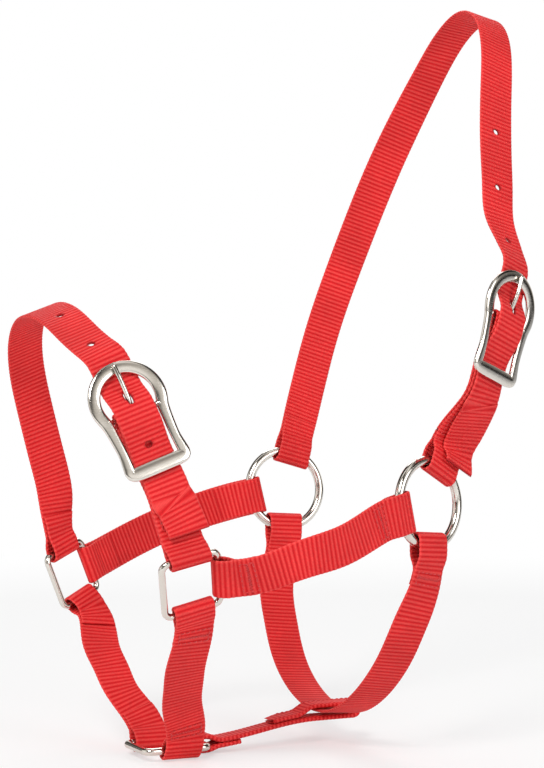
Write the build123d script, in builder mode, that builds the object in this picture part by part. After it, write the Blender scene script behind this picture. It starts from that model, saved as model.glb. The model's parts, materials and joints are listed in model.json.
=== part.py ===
from build123d import *
import math
import os

# Flat webbing halter with nickel hardware.
# Frame: +Z up, the muzzle looks to -Y, the near side (the left of the animal) is +X.
# The origin is the centre of the bounding box in plan, level with the lowest edge.

os.makedirs("parts", exist_ok=True)

# ---------------------------------------------------------------- driving dimensions (mm)
WEB_W = 25.0            # webbing width
WEB_T = 1.8             # webbing thickness
LAYER_GAP = 0.2         # air between two sewn layers
HALF = (WEB_T + LAYER_GAP) / 2      # middle of either layer from the strap line
LOOP_GAP = 0.35         # air between the webbing and the metal it wraps
FOLD_LEN = 24.0         # length of a folded-back, sewn end
STEP = 6.0              # spacing of the cross sections on the plain runs
FINE_STEP = 3.0         # the same on the straps that run through a buckle

# Rings
ROUND_R = 26.2          # round ring, radius of the wire centre line
ROUND_WIRE = 5.8
NOSE_RING_HALF = 17.4   # square nose rings, half distance between opposite bars
NOSE_RING_WIRE = 4.0
CHIN_HALF_X = 17.5      # chin ring, half distance between the side bars
CHIN_HALF_Y = 20.5      # chin ring, half distance between front and rear bar
CHIN_WIRE = 4.6
CORNER_R = 4.4          # corner radius of the square rings at the wire centre

# Buckle frames
FRAME_T = 3.0           # frame thickness
FRAME_RISE = 5.5        # mid plane of the frame above the strap line
FRAME_CHAMFER = 0.8
ARC_R = 23.3            # top arc, outer radius
ARC_IN = 16.0           # top arc, inner radius
ARC_AT = 8.5            # arc centre beyond the bar
KEEPER_AT = 37.5        # outer edge of the keeper bar from the bar
KEEPER_BAR_W = 8.5
WINDOW_W = 27.0         # opening between the side rails
BAR_R = 1.8
BAR_LEN = 30.0
BAR_DROP = 1.5          # bar below the mid plane of its frame
BAR_RISE = FRAME_RISE - BAR_DROP
BAR_WRAP_R = BAR_R + LOOP_GAP + WEB_T / 2       # middle of the webbing round the bar
# One side rail, from the arc to the keeper bar: x across the strap, y towards the arc
FRAME_SIDE = [(21.4, 4), (21.4, -2), (19.6, -20), (20.6, -33), (20.6, -KEEPER_AT)]

# Tongues
TONGUE_R = 1.6          # rod radius
TONGUE_CUT_GAP = 0.3    # air round the rod where it passes the strap
COIL_R = 3.55           # outer radius of the coil on the bar
COIL_W = 6.0
COIL_GAP = 0.2          # air between coil and bar
SLOT_LEN = 9.0          # slot in the fold of the doubled strap, along the strap
SLOT_SPARE = 1.0        # slot wider than the coil
SLOT_CLEAR = 1.2        # cut beyond the coil, above and below
# Rod centre line from the coil, up through the strap, to rest on the arc:
# distance from the bar towards the arc, height over the frame mid plane
TONGUE_PTS = [(2.6, -0.6), (18.5, 3.3), (29.5, 3.3)]

# Punched holes, measured along the strap from the bar; minus is the arc side
HOLE_D = 4.0
HOLE_CUT = 2.2          # cut depth to either side of the webbing middle
TONGUE_HOLE = 13.6      # from the bar to the hole the pitches are counted from
CROWN_HOLE_PITCH = 40.0
NOSEBAND_HOLE_PITCH = 37.0
SPARE_HOLE = 19.4       # noseband hole on the keeper side of the bar
NOSEBAND_HOLES = [-TONGUE_HOLE - k * NOSEBAND_HOLE_PITCH for k in (1, 2)] + [SPARE_HOLE]
CROWN_HOLES = [-TONGUE_HOLE - k * CROWN_HOLE_PITCH for k in (1, 2, 3)]

# Buckled straps: the layers are shaped up to BUCKLE_REACH either side of the bar
BUCKLE_REACH = 52
BUCKLE_STEP = 2
BILLET_FROM = 4         # the doubled strap leaves the bar here
TAIL_LIFT = 2.8         # loose tail above the outer layer
TAIL_LEN = 16.0         # end of the tail that curls up
TAIL_SHIFT_FROM = 39    # the tail starts to drift sideways here
BUTT_SETBACK = 6.0      # butt joint of the doubled strap, before the fold at the ring
BUTT_HALF_GAP = 0.5
# Heights over the strap line: distance from the bar, height of the webbing middle
ADJUSTING_RISE = [
    (-50, HALF), (-34, 2.7), (-18.2, 2.7),      # under the arc
    (-3.5, 8.95), (4, 8.95),                    # over the bar
    (27, 2.7), (39, 2.7),                       # under the keeper bar
    (52, HALF + TAIL_LIFT),
]
OUTER_BILLET_RISE = [(4, BAR_RISE + BAR_WRAP_R), (27, 0.35), (39, 0.35), (52, HALF)]
INNER_BILLET_RISE = [(4, BAR_RISE - BAR_WRAP_R), (27, -1.8), (39, -1.8), (52, -HALF)]

# Folds round a bar: bar radius, slack beyond the bar, length in which the layers close
ROUND_SLACK = 1.1       # added to the rise of the round wire across a flat fold
ROUND_SAG = ROUND_R - math.sqrt(ROUND_R ** 2 - (WEB_W / 2) ** 2) + ROUND_SLACK
ROUND_FOLD = (ROUND_WIRE / 2, ROUND_SAG, 11.0)
CHEEK_FOLD = (NOSE_RING_WIRE / 2, 0.4, 9.0)
NOSEBAND_FOLD = (NOSE_RING_WIRE / 2, 1.0, 9.0)
NOSEBAND_BILLET_FOLD = (NOSE_RING_WIRE / 2, 1.0, 8.0)
CHIN_UPPER_FOLD = (NOSE_RING_WIRE / 2, 1.6, 9.0)
CHIN_LOWER_FOLD = (CHIN_WIRE / 2, 1.6, 9.0)
FOLD_LEAD = 1.0         # the layers start to close this far past the bar radius

# Jaw strap: webbing folded lengthwise
JAW_W = 14.0
JAW_T = 3.2
JAW_LAP = JAW_T + LAYER_GAP                 # between the middles of two jaw layers
JAW_DROP = WEB_T / 2 + JAW_T / 2 + 1.45     # jaw strap middle from the throat layer

# Seams
THREAD_W = 0.7
THREAD_T = 0.35
SEAM_GAP = 0.3          # thread above the webbing face
SEAM_HALF_W = 9.5       # lengthwise runs from the strap centre line
SEAM_RISE = HALF + WEB_T / 2 + SEAM_GAP + THREAD_T / 2
CROSS_PROUD = 0.06      # crosswise runs stand proud in height and at both ends
SQUARE_SEAM = (13.5, 21.5)      # from a straight bar
ROUND_SEAM = (15.5, 22.5)       # from a round ring

# ---------------------------------------------------------------- ring and buckle places
# x of a square ring plane points to one of its bars
OFF_CHEEK_RING = Plane(origin=(-100.6418, 57.8260, 158.0165), z_dir=(-0.9919, 0.0607, -0.1113))
NEAR_CHEEK_RING = Plane(origin=(91.9821, 59.2682, 155.8185), z_dir=(0.9514, 0.3037, 0.0506))
OFF_NOSE_RING = Plane(
    origin=(-99.0611, -98.9768, 106.0200),
    x_dir=(-0.0300, -0.3504, 0.9361),
    z_dir=(-0.8923, -0.4126, -0.1831),
)
NEAR_NOSE_RING = Plane(
    origin=(91.5662, -97.1173, 114.1450),
    x_dir=(0.3881, -0.2338, 0.8915),
    z_dir=(0.9200, 0.0400, -0.3900),
)
CHIN_RING = Plane(origin=(-4.4500, -71.8304, 5.8856), x_dir=(1, 0, 0), z_dir=(0, 0, -1))
NOSEBAND_BAR_AT = 320.036       # buckle bars, distance along the strap line
CROWN_BAR_AT = 606.222
THROAT_LOW_Y = 41.6684          # lowest point of the throat strap line
THROAT_LOW_Z = 20.6253


# ---------------------------------------------------------------- strap line geometry
def squared(direction, axis):
    """Unit vector nearest to direction that is square to axis."""
    return (direction - axis * axis.dot(direction)).normalized()


def directions(points):
    """Unit direction of travel at each point."""
    last = len(points) - 1
    return [
        (points[min(i + 1, last)] - points[max(i - 1, 0)]).normalized()
        for i in range(len(points))
    ]


def section_planes(points, across):
    """Planes square to a run of points, x across it."""
    return [
        Plane(origin=point, x_dir=squared(side, travel), z_dir=travel)
        for point, side, travel in zip(points, across, directions(points))
    ]


class StrapLine:
    """Centre line of a strap, read at a distance along it."""

    def __init__(self, length, rows):
        self.length = length
        self.points = [Vector(*row[:3]) for row in rows]
        self.across = [Vector(*row[3:]) for row in rows]
        self.travel = directions(self.points)
        self.spacing = length / (len(rows) - 1)

    def at(self, distance):
        """Point, travel, across and outward direction; straight beyond the ends."""
        inside = max(0.0, min(distance, self.length))
        i = min(int(inside / self.spacing), len(self.points) - 2)
        part = inside / self.spacing - i

        def blend(values):
            return values[i] * (1 - part) + values[i + 1] * part

        travel = blend(self.travel).normalized()
        across = squared(blend(self.across), travel)
        point = blend(self.points) + travel * (distance - inside)
        return point, travel, across, travel.cross(across)

    def point(self, distance, rise, sideways):
        point, _, across, outward = self.at(distance)
        return point + outward * rise + across * sideways

    def face_plane(self, distance, rise):
        """Plane along the strap: x across, y against the travel, z outward."""
        point, _, across, outward = self.at(distance)
        return Plane(origin=point + outward * rise, x_dir=across, z_dir=outward)

    def sections(self, track):
        """Section planes along a track of (distance, rise, sideways)."""
        points = [self.point(*station) for station in track]
        return section_planes(points, [self.at(station[0])[2] for station in track])


# ---------------------------------------------------------------- strap lines
# Length, then rows of a centre line point (x, y, z) and the direction across the
# webbing (x, y, z). The rows of one strap are equally spaced along its length; the
# outer face lies on the side of (direction of travel) x (direction across).
NOSEBAND = StrapLine(408.792, [
    (-99.58, -105.07, 122.31, -0.4504, 0.8408, 0.3003), (-98.89, -106.46, 127.05, -0.4488, 0.8377, 0.3112),
    (-98.23, -107.75, 131.82, -0.4562, 0.8520, 0.2569), (-97.72, -108.70, 136.68, -0.4369, 0.8809, 0.1818),
    (-97.32, -109.37, 141.61, -0.3681, 0.9201, 0.1338), (-96.97, -109.89, 146.55, -0.2699, 0.9563, 0.1125),
    (-96.61, -110.38, 151.50, -0.1686, 0.9787, 0.1174), (-96.18, -110.98, 156.43, -0.0920, 0.9846, 0.1490),
    (-95.61, -111.82, 161.31, -0.0612, 0.9759, 0.2092), (-94.86, -112.97, 166.10, -0.0512, 0.9618, 0.2689),
    (-93.98, -114.36, 170.81, -0.0427, 0.9501, 0.3090), (-93.02, -115.89, 175.45, -0.0380, 0.9429, 0.3308),
    (-92.02, -117.49, 180.07, -0.0377, 0.9413, 0.3355), (-91.03, -119.08, 184.69, -0.0406, 0.9432, 0.3298),
    (-90.04, -120.65, 189.31, -0.0439, 0.9441, 0.3267), (-89.02, -122.20, 193.94, -0.0473, 0.9440, 0.3266),
    (-87.94, -123.74, 198.56, -0.0506, 0.9428, 0.3295), (-86.78, -125.30, 203.15, -0.0531, 0.9406, 0.3354),
    (-85.52, -126.88, 207.71, -0.0542, 0.9373, 0.3443), (-84.12, -128.48, 212.21, -0.0536, 0.9331, 0.3556),
    (-82.57, -130.12, 216.66, -0.0527, 0.9292, 0.3658), (-80.86, -131.77, 221.04, -0.0520, 0.9260, 0.3739),
    (-78.96, -133.42, 225.35, -0.0512, 0.9237, 0.3797), (-76.88, -135.05, 229.57, -0.0499, 0.9224, 0.3831),
    (-74.60, -136.65, 233.71, -0.0479, 0.9219, 0.3844), (-72.11, -138.20, 237.74, -0.0454, 0.9221, 0.3842),
    (-69.40, -139.70, 241.64, -0.0431, 0.9229, 0.3827), (-66.45, -141.12, 245.40, -0.0415, 0.9240, 0.3800),
    (-63.26, -142.45, 249.00, -0.0401, 0.9255, 0.3766), (-59.84, -143.68, 252.41, -0.0370, 0.9273, 0.3725),
    (-56.21, -144.83, 255.62, -0.0326, 0.9292, 0.3681), (-52.36, -145.88, 258.61, -0.0275, 0.9312, 0.3636),
    (-48.32, -146.84, 261.37, -0.0223, 0.9329, 0.3596), (-44.10, -147.71, 263.87, -0.0173, 0.9340, 0.3567),
    (-39.72, -148.49, 266.11, -0.0126, 0.9345, 0.3558), (-35.18, -149.18, 268.05, -0.0078, 0.9347, 0.3555),
    (-30.51, -149.78, 269.69, -0.0030, 0.9348, 0.3553), (-25.74, -150.29, 271.03, 0.0021, 0.9348, 0.3553),
    (-20.88, -150.70, 272.05, 0.0076, 0.9347, 0.3554), (-15.95, -151.02, 272.75, 0.0121, 0.9343, 0.3562),
    (-10.99, -151.24, 273.13, 0.0145, 0.9335, 0.3583), (-6.00, -151.34, 273.20, 0.0150, 0.9324, 0.3610),
    (-1.02, -151.33, 272.97, 0.0137, 0.9314, 0.3636), (3.93, -151.20, 272.46, 0.0113, 0.9307, 0.3657),
    (8.85, -150.94, 271.66, 0.0112, 0.9300, 0.3674), (13.69, -150.57, 270.56, 0.0135, 0.9296, 0.3682),
    (18.45, -150.09, 269.14, 0.0180, 0.9300, 0.3672), (23.07, -149.50, 267.39, 0.0239, 0.9312, 0.3639),
    (27.55, -148.81, 265.31, 0.0250, 0.9323, 0.3608), (31.89, -148.03, 262.99, 0.0200, 0.9325, 0.3605),
    (36.13, -147.13, 260.52, 0.0096, 0.9315, 0.3637), (40.29, -146.14, 257.96, -0.0053, 0.9288, 0.3704),
    (44.43, -145.04, 255.41, -0.0243, 0.9247, 0.3800), (48.58, -143.84, 252.92, -0.0472, 0.9189, 0.3916),
    (52.76, -142.54, 250.54, -0.0655, 0.9124, 0.4039), (56.87, -141.14, 248.10, -0.0640, 0.9066, 0.4171),
    (60.75, -139.62, 245.35, -0.0394, 0.9033, 0.4272), (64.11, -138.01, 242.05, 0.0088, 0.9083, 0.4183),
    (66.31, -136.38, 237.97, 0.0598, 0.9319, 0.3577), (67.91, -134.78, 233.52, 0.0598, 0.9319, 0.3577),
    (69.50, -133.18, 229.08, 0.0598, 0.9319, 0.3577), (71.10, -131.57, 224.64, 0.0598, 0.9319, 0.3577),
    (72.69, -129.97, 220.19, 0.0598, 0.9319, 0.3577), (74.29, -128.37, 215.75, 0.0598, 0.9319, 0.3577),
    (75.89, -126.77, 211.31, 0.0598, 0.9319, 0.3577), (77.48, -125.16, 206.87, 0.0598, 0.9319, 0.3577),
    (79.08, -123.56, 202.42, 0.0598, 0.9319, 0.3577), (80.67, -121.96, 197.98, 0.0598, 0.9319, 0.3577),
    (82.27, -120.35, 193.54, 0.0598, 0.9319, 0.3577), (83.86, -118.75, 189.10, 0.0598, 0.9319, 0.3577),
    (85.46, -117.15, 184.65, 0.0598, 0.9319, 0.3577), (87.06, -115.55, 180.21, 0.0598, 0.9319, 0.3577),
    (88.65, -113.94, 175.77, 0.0598, 0.9319, 0.3577), (89.91, -112.34, 171.23, 0.0637, 0.9408, 0.3330),
    (90.44, -110.77, 166.53, 0.0613, 0.9478, 0.3128), (90.57, -109.26, 161.78, 0.0588, 0.9533, 0.2963),
    (90.53, -107.82, 157.01, 0.0578, 0.9576, 0.2822), (90.54, -106.44, 152.22, 0.0573, 0.9613, 0.2696),
    (90.82, -105.14, 147.42, 0.0559, 0.9645, 0.2580), (91.64, -103.94, 142.65, 0.0534, 0.9677, 0.2463),
    (93.25, -102.89, 138.06, 0.0534, 0.9705, 0.2351), (95.68, -102.01, 133.80, 0.0562, 0.9717, 0.2295),
    (98.32, -101.19, 129.66, 0.0555, 0.9715, 0.2306),
])
CROWN = StrapLine(707.770, [
    (-102.97, 65.54, 182.95, 0.0906, 0.9537, -0.2868), (-103.35, 66.98, 187.70, 0.0902, 0.9551, -0.2821),
    (-103.85, 68.48, 192.43, 0.0933, 0.9477, -0.3052), (-104.76, 70.15, 197.03, 0.1101, 0.9356, -0.3355),
    (-106.04, 71.97, 201.49, 0.1369, 0.9259, -0.3522), (-107.57, 73.89, 205.83, 0.1641, 0.9192, -0.3579),
    (-109.24, 75.88, 210.08, 0.1864, 0.9155, -0.3566), (-110.96, 77.88, 214.31, 0.2008, 0.9143, -0.3517),
    (-112.61, 79.87, 218.57, 0.2045, 0.9159, -0.3453), (-114.12, 81.82, 222.91, 0.2025, 0.9188, -0.3387),
    (-115.48, 83.72, 227.31, 0.2014, 0.9214, -0.3325), (-116.68, 85.58, 231.77, 0.2004, 0.9236, -0.3268),
    (-117.74, 87.39, 236.29, 0.1993, 0.9256, -0.3217), (-118.66, 89.17, 240.86, 0.1977, 0.9274, -0.3175),
    (-119.45, 90.90, 245.47, 0.1950, 0.9291, -0.3143), (-120.08, 92.59, 250.11, 0.1918, 0.9305, -0.3121),
    (-120.54, 94.25, 254.79, 0.1887, 0.9316, -0.3106), (-120.82, 95.87, 259.49, 0.1866, 0.9323, -0.3098),
    (-120.91, 97.46, 264.22, 0.1851, 0.9327, -0.3095), (-120.81, 99.01, 268.95, 0.1838, 0.9330, -0.3094),
    (-120.53, 100.53, 273.69, 0.1826, 0.9331, -0.3098), (-120.07, 102.01, 278.43, 0.1819, 0.9330, -0.3104),
    (-119.44, 103.47, 283.15, 0.1819, 0.9327, -0.3115), (-118.66, 104.89, 287.86, 0.1837, 0.9321, -0.3122),
    (-117.73, 106.28, 292.56, 0.1871, 0.9313, -0.3126), (-116.67, 107.63, 297.24, 0.1912, 0.9304, -0.3126),
    (-115.50, 108.96, 301.90, 0.1953, 0.9297, -0.3122), (-114.24, 110.25, 306.54, 0.1998, 0.9289, -0.3117),
    (-112.90, 111.51, 311.18, 0.2052, 0.9277, -0.3119), (-111.48, 112.75, 315.79, 0.2108, 0.9262, -0.3126),
    (-110.00, 113.96, 320.39, 0.2162, 0.9246, -0.3138), (-108.47, 115.16, 324.98, 0.2207, 0.9230, -0.3151),
    (-106.90, 116.35, 329.56, 0.2238, 0.9218, -0.3164), (-105.29, 117.53, 334.13, 0.2250, 0.9211, -0.3176),
    (-103.67, 118.71, 338.69, 0.2253, 0.9206, -0.3189), (-102.01, 119.89, 343.24, 0.2252, 0.9200, -0.3207),
    (-100.34, 121.07, 347.79, 0.2249, 0.9194, -0.3228), (-98.64, 122.25, 352.32, 0.2241, 0.9186, -0.3254),
    (-96.93, 123.44, 356.85, 0.2225, 0.9180, -0.3283), (-95.19, 124.65, 361.36, 0.2189, 0.9179, -0.3309),
    (-93.42, 125.86, 365.86, 0.2138, 0.9182, -0.3335), (-91.62, 127.08, 370.34, 0.2076, 0.9187, -0.3360),
    (-89.78, 128.31, 374.81, 0.2008, 0.9192, -0.3387), (-87.91, 129.55, 379.26, 0.1928, 0.9201, -0.3410),
    (-85.98, 130.80, 383.68, 0.1832, 0.9215, -0.3426), (-84.01, 132.06, 388.08, 0.1724, 0.9232, -0.3434),
    (-81.98, 133.32, 392.46, 0.1607, 0.9253, -0.3436), (-79.88, 134.58, 396.80, 0.1480, 0.9277, -0.3428),
    (-77.72, 135.84, 401.11, 0.1330, 0.9312, -0.3395), (-75.48, 137.08, 405.39, 0.1165, 0.9355, -0.3336),
    (-73.18, 138.31, 409.63, 0.0995, 0.9403, -0.3254), (-70.80, 139.51, 413.85, 0.0831, 0.9453, -0.3153),
    (-68.34, 140.68, 418.02, 0.0660, 0.9508, -0.3028), (-65.81, 141.81, 422.16, 0.0475, 0.9566, -0.2877),
    (-63.19, 142.90, 426.26, 0.0297, 0.9622, -0.2706), (-60.48, 143.94, 430.32, 0.0143, 0.9674, -0.2527),
    (-57.69, 144.92, 434.32, 0.0024, 0.9720, -0.2349), (-54.79, 145.85, 438.28, -0.0095, 0.9764, -0.2156),
    (-51.80, 146.71, 442.16, -0.0200, 0.9804, -0.1959), (-48.69, 147.51, 445.98, -0.0265, 0.9837, -0.1776),
    (-45.47, 148.24, 449.71, -0.0271, 0.9863, -0.1629), (-42.12, 148.90, 453.34, -0.0226, 0.9882, -0.1518),
    (-38.61, 149.49, 456.83, -0.0167, 0.9898, -0.1415), (-34.90, 150.00, 460.12, -0.0090, 0.9911, -0.1325),
    (-30.98, 150.41, 463.17, 0.0006, 0.9921, -0.1256), (-26.84, 150.73, 465.91, 0.0119, 0.9925, -0.1219),
    (-22.47, 150.94, 468.31, 0.0256, 0.9919, -0.1245), (-17.91, 151.05, 470.32, 0.0399, 0.9903, -0.1330),
    (-13.20, 151.05, 471.92, 0.0533, 0.9879, -0.1460), (-8.35, 150.94, 473.07, 0.0642, 0.9847, -0.1621),
    (-3.41, 150.70, 473.70, 0.0716, 0.9811, -0.1796), (1.56, 150.34, 473.76, 0.0748, 0.9775, -0.1973),
    (6.48, 149.85, 473.20, 0.0736, 0.9739, -0.2146), (11.28, 149.23, 472.04, 0.0687, 0.9702, -0.2322),
    (15.91, 148.49, 470.35, 0.0612, 0.9668, -0.2482), (20.33, 147.66, 468.19, 0.0525, 0.9638, -0.2613),
    (24.49, 146.74, 465.61, 0.0439, 0.9615, -0.2711), (28.38, 145.73, 462.66, 0.0340, 0.9593, -0.2803),
    (31.98, 144.66, 459.39, 0.0228, 0.9571, -0.2889), (35.31, 143.52, 455.86, 0.0118, 0.9551, -0.2961),
    (38.37, 142.32, 452.12, 0.0027, 0.9536, -0.3012), (41.18, 141.07, 448.19, -0.0045, 0.9525, -0.3045),
    (43.76, 139.79, 444.13, -0.0123, 0.9517, -0.3068), (46.13, 138.48, 439.95, -0.0199, 0.9512, -0.3078),
    (48.33, 137.15, 435.67, -0.0263, 0.9512, -0.3073), (50.39, 135.82, 431.33, -0.0304, 0.9518, -0.3053),
    (52.32, 134.48, 426.94, -0.0330, 0.9528, -0.3017), (54.17, 133.15, 422.50, -0.0349, 0.9543, -0.2968),
    (55.94, 131.84, 418.03, -0.0363, 0.9561, -0.2907), (57.67, 130.56, 413.54, -0.0377, 0.9582, -0.2836),
    (59.37, 129.31, 409.02, -0.0390, 0.9604, -0.2758), (61.07, 128.10, 404.50, -0.0396, 0.9626, -0.2682),
    (62.76, 126.93, 399.96, -0.0399, 0.9645, -0.2610), (64.44, 125.78, 395.41, -0.0401, 0.9663, -0.2544),
    (66.12, 124.67, 390.85, -0.0406, 0.9678, -0.2484), (67.80, 123.58, 386.28, -0.0426, 0.9691, -0.2431),
    (69.49, 122.52, 381.71, -0.0466, 0.9701, -0.2381), (71.19, 121.50, 377.14, -0.0519, 0.9710, -0.2335),
    (72.92, 120.51, 372.57, -0.0582, 0.9717, -0.2290), (74.67, 119.55, 368.01, -0.0650, 0.9721, -0.2252),
    (76.43, 118.62, 363.44, -0.0724, 0.9717, -0.2249), (78.18, 117.69, 358.87, -0.0798, 0.9703, -0.2282),
    (79.90, 116.75, 354.28, -0.0870, 0.9681, -0.2349), (81.55, 115.76, 349.68, -0.0937, 0.9651, -0.2445),
    (83.13, 114.74, 345.07, -0.1021, 0.9630, -0.2495), (84.75, 113.73, 340.46, -0.1141, 0.9631, -0.2437),
    (86.52, 112.84, 335.89, -0.1311, 0.9647, -0.2284), (88.57, 112.13, 331.40, -0.1555, 0.9662, -0.2058),
    (90.98, 111.69, 327.06, -0.1886, 0.9649, -0.1828), (93.69, 111.49, 322.89, -0.2240, 0.9582, -0.1779),
    (96.56, 111.44, 318.82, -0.2559, 0.9484, -0.1874), (99.45, 111.43, 314.76, -0.2826, 0.9370, -0.2055),
    (102.24, 111.34, 310.63, -0.3034, 0.9253, -0.2276), (104.77, 111.08, 306.34, -0.3173, 0.9145, -0.2508),
    (106.84, 110.52, 301.85, -0.3225, 0.9060, -0.2740), (108.18, 109.51, 297.16, -0.3178, 0.8998, -0.2990),
    (108.50, 107.96, 292.45, -0.3146, 0.8952, -0.3157), (108.81, 106.40, 287.73, -0.3146, 0.8952, -0.3157),
    (109.13, 104.85, 283.00, -0.3146, 0.8952, -0.3157), (109.44, 103.29, 278.28, -0.3146, 0.8952, -0.3157),
    (109.76, 101.74, 273.55, -0.3146, 0.8952, -0.3157), (110.07, 100.18, 268.83, -0.3146, 0.8952, -0.3157),
    (110.38, 98.62, 264.10, -0.3146, 0.8952, -0.3157), (110.70, 97.07, 259.38, -0.3146, 0.8952, -0.3157),
    (111.01, 95.51, 254.65, -0.3146, 0.8952, -0.3157), (111.33, 93.96, 249.93, -0.3146, 0.8952, -0.3157),
    (111.64, 92.40, 245.20, -0.3146, 0.8952, -0.3157), (111.96, 90.85, 240.48, -0.3146, 0.8952, -0.3157),
    (112.27, 89.29, 235.76, -0.3146, 0.8952, -0.3157), (112.59, 87.73, 231.03, -0.3146, 0.8952, -0.3157),
    (112.78, 86.20, 226.32, -0.3050, 0.9209, -0.2426), (111.35, 84.85, 221.76, -0.2366, 0.9588, -0.1573),
    (108.80, 83.73, 217.63, -0.1598, 0.9777, -0.1360), (105.62, 82.77, 213.92, -0.1057, 0.9834, -0.1473),
    (102.13, 81.91, 210.47, -0.0735, 0.9829, -0.1686), (98.51, 81.06, 207.15, -0.0584, 0.9800, -0.1904),
    (94.91, 80.17, 203.83, -0.0588, 0.9760, -0.2097), (91.47, 79.16, 200.36, -0.0775, 0.9709, -0.2265),
    (88.42, 77.94, 196.62, -0.1221, 0.9611, -0.2476), (86.19, 76.40, 192.45, -0.1952, 0.9348, -0.2969),
    (85.41, 74.50, 187.94, -0.2502, 0.8809, -0.4017), (86.13, 72.41, 183.48, -0.2452, 0.8484, -0.4691),
    (87.22, 70.31, 179.10, -0.2485, 0.8546, -0.4560),
])
THROAT = StrapLine(333.045, [
    (-97.84, 55.95, 132.03, -0.0682, -0.9956, 0.0644), (-97.20, 55.61, 127.12, -0.0676, -0.9959, 0.0601),
    (-96.77, 55.24, 122.18, -0.0686, -0.9943, 0.0812), (-97.02, 54.78, 117.24, -0.0652, -0.9917, 0.1104),
    (-97.80, 54.23, 112.36, -0.0642, -0.9894, 0.1306), (-98.79, 53.62, 107.53, -0.0685, -0.9872, 0.1439),
    (-99.73, 52.97, 102.69, -0.0780, -0.9856, 0.1502), (-100.31, 52.28, 97.81, -0.0903, -0.9851, 0.1464),
    (-100.18, 51.57, 92.90, -0.0992, -0.9868, 0.1283), (-99.07, 50.90, 88.11, -0.0965, -0.9896, 0.1071),
    (-97.17, 50.26, 83.56, -0.0875, -0.9916, 0.0950), (-94.76, 49.66, 79.26, -0.0785, -0.9928, 0.0902),
    (-92.04, 49.08, 75.14, -0.0716, -0.9934, 0.0901), (-89.17, 48.51, 71.12, -0.0676, -0.9934, 0.0927),
    (-86.24, 47.94, 67.14, -0.0658, -0.9932, 0.0966), (-83.30, 47.35, 63.18, -0.0633, -0.9931, 0.0992),
    (-80.28, 46.77, 59.27, -0.0599, -0.9931, 0.1003), (-77.15, 46.21, 55.46, -0.0558, -0.9934, 0.0998),
    (-73.85, 45.66, 51.78, -0.0508, -0.9939, 0.0977), (-70.36, 45.16, 48.28, -0.0449, -0.9945, 0.0945),
    (-66.67, 44.69, 44.98, -0.0393, -0.9951, 0.0910), (-62.80, 44.27, 41.89, -0.0340, -0.9956, 0.0874),
    (-58.78, 43.90, 38.99, -0.0288, -0.9961, 0.0836), (-54.62, 43.57, 36.28, -0.0239, -0.9965, 0.0799),
    (-50.35, 43.27, 33.77, -0.0201, -0.9969, 0.0765), (-45.95, 43.02, 31.46, -0.0171, -0.9972, 0.0735),
    (-41.46, 42.79, 29.35, -0.0150, -0.9974, 0.0710), (-36.87, 42.59, 27.44, -0.0137, -0.9975, 0.0694),
    (-32.20, 42.42, 25.75, -0.0130, -0.9975, 0.0688), (-27.46, 42.25, 24.26, -0.0128, -0.9976, 0.0684),
    (-22.65, 42.10, 23.01, -0.0130, -0.9976, 0.0682), (-17.79, 41.97, 22.00, -0.0137, -0.9976, 0.0682),
    (-12.88, 41.85, 21.25, -0.0149, -0.9976, 0.0683), (-7.93, 41.74, 20.76, -0.0165, -0.9975, 0.0685),
    (-2.97, 41.64, 20.57, -0.0177, -0.9974, 0.0697), (2.00, 41.56, 20.66, -0.0179, -0.9972, 0.0721),
    (6.95, 41.50, 21.05, -0.0175, -0.9970, 0.0754), (11.88, 41.47, 21.74, -0.0165, -0.9967, 0.0792),
    (16.74, 41.47, 22.75, -0.0149, -0.9964, 0.0832), (21.54, 41.52, 24.06, -0.0131, -0.9961, 0.0875),
    (26.23, 41.61, 25.68, -0.0117, -0.9956, 0.0926), (30.83, 41.74, 27.57, -0.0106, -0.9951, 0.0981),
    (35.31, 41.91, 29.71, -0.0096, -0.9946, 0.1036), (39.67, 42.12, 32.08, -0.0087, -0.9940, 0.1090),
    (43.91, 42.38, 34.67, -0.0074, -0.9934, 0.1142), (48.02, 42.68, 37.45, -0.0058, -0.9928, 0.1199),
    (51.98, 43.03, 40.43, -0.0036, -0.9921, 0.1257), (55.80, 43.43, 43.58, -0.0007, -0.9913, 0.1317),
    (59.48, 43.88, 46.90, 0.0009, -0.9906, 0.1365), (63.00, 44.36, 50.37, -0.0000, -0.9904, 0.1384),
    (66.38, 44.86, 53.98, -0.0031, -0.9905, 0.1372), (69.61, 45.36, 57.73, -0.0077, -0.9912, 0.1324),
    (72.71, 45.82, 61.59, -0.0134, -0.9922, 0.1238), (75.66, 46.25, 65.56, -0.0177, -0.9932, 0.1147),
    (78.47, 46.67, 69.64, -0.0152, -0.9934, 0.1138), (81.12, 47.13, 73.82, -0.0063, -0.9925, 0.1225),
    (83.58, 47.70, 78.10, 0.0078, -0.9899, 0.1413), (85.85, 48.42, 82.47, 0.0259, -0.9850, 0.1706),
    (87.89, 49.35, 86.90, 0.0472, -0.9770, 0.2077), (89.69, 50.48, 91.39, 0.0800, -0.9702, 0.2287),
    (91.24, 51.73, 95.95, 0.1233, -0.9647, 0.2327), (92.52, 53.03, 100.57, 0.1722, -0.9593, 0.2240),
    (93.52, 54.30, 105.27, 0.2205, -0.9534, 0.2060), (94.22, 55.45, 110.05, 0.2616, -0.9481, 0.1807),
    (94.59, 56.40, 114.92, 0.2891, -0.9458, 0.1477), (94.60, 57.07, 119.84, 0.2984, -0.9487, 0.1044),
    (94.29, 57.42, 124.79, 0.2997, -0.9512, 0.0737), (93.88, 57.67, 129.74, 0.2992, -0.9508, 0.0800),
])
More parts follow.
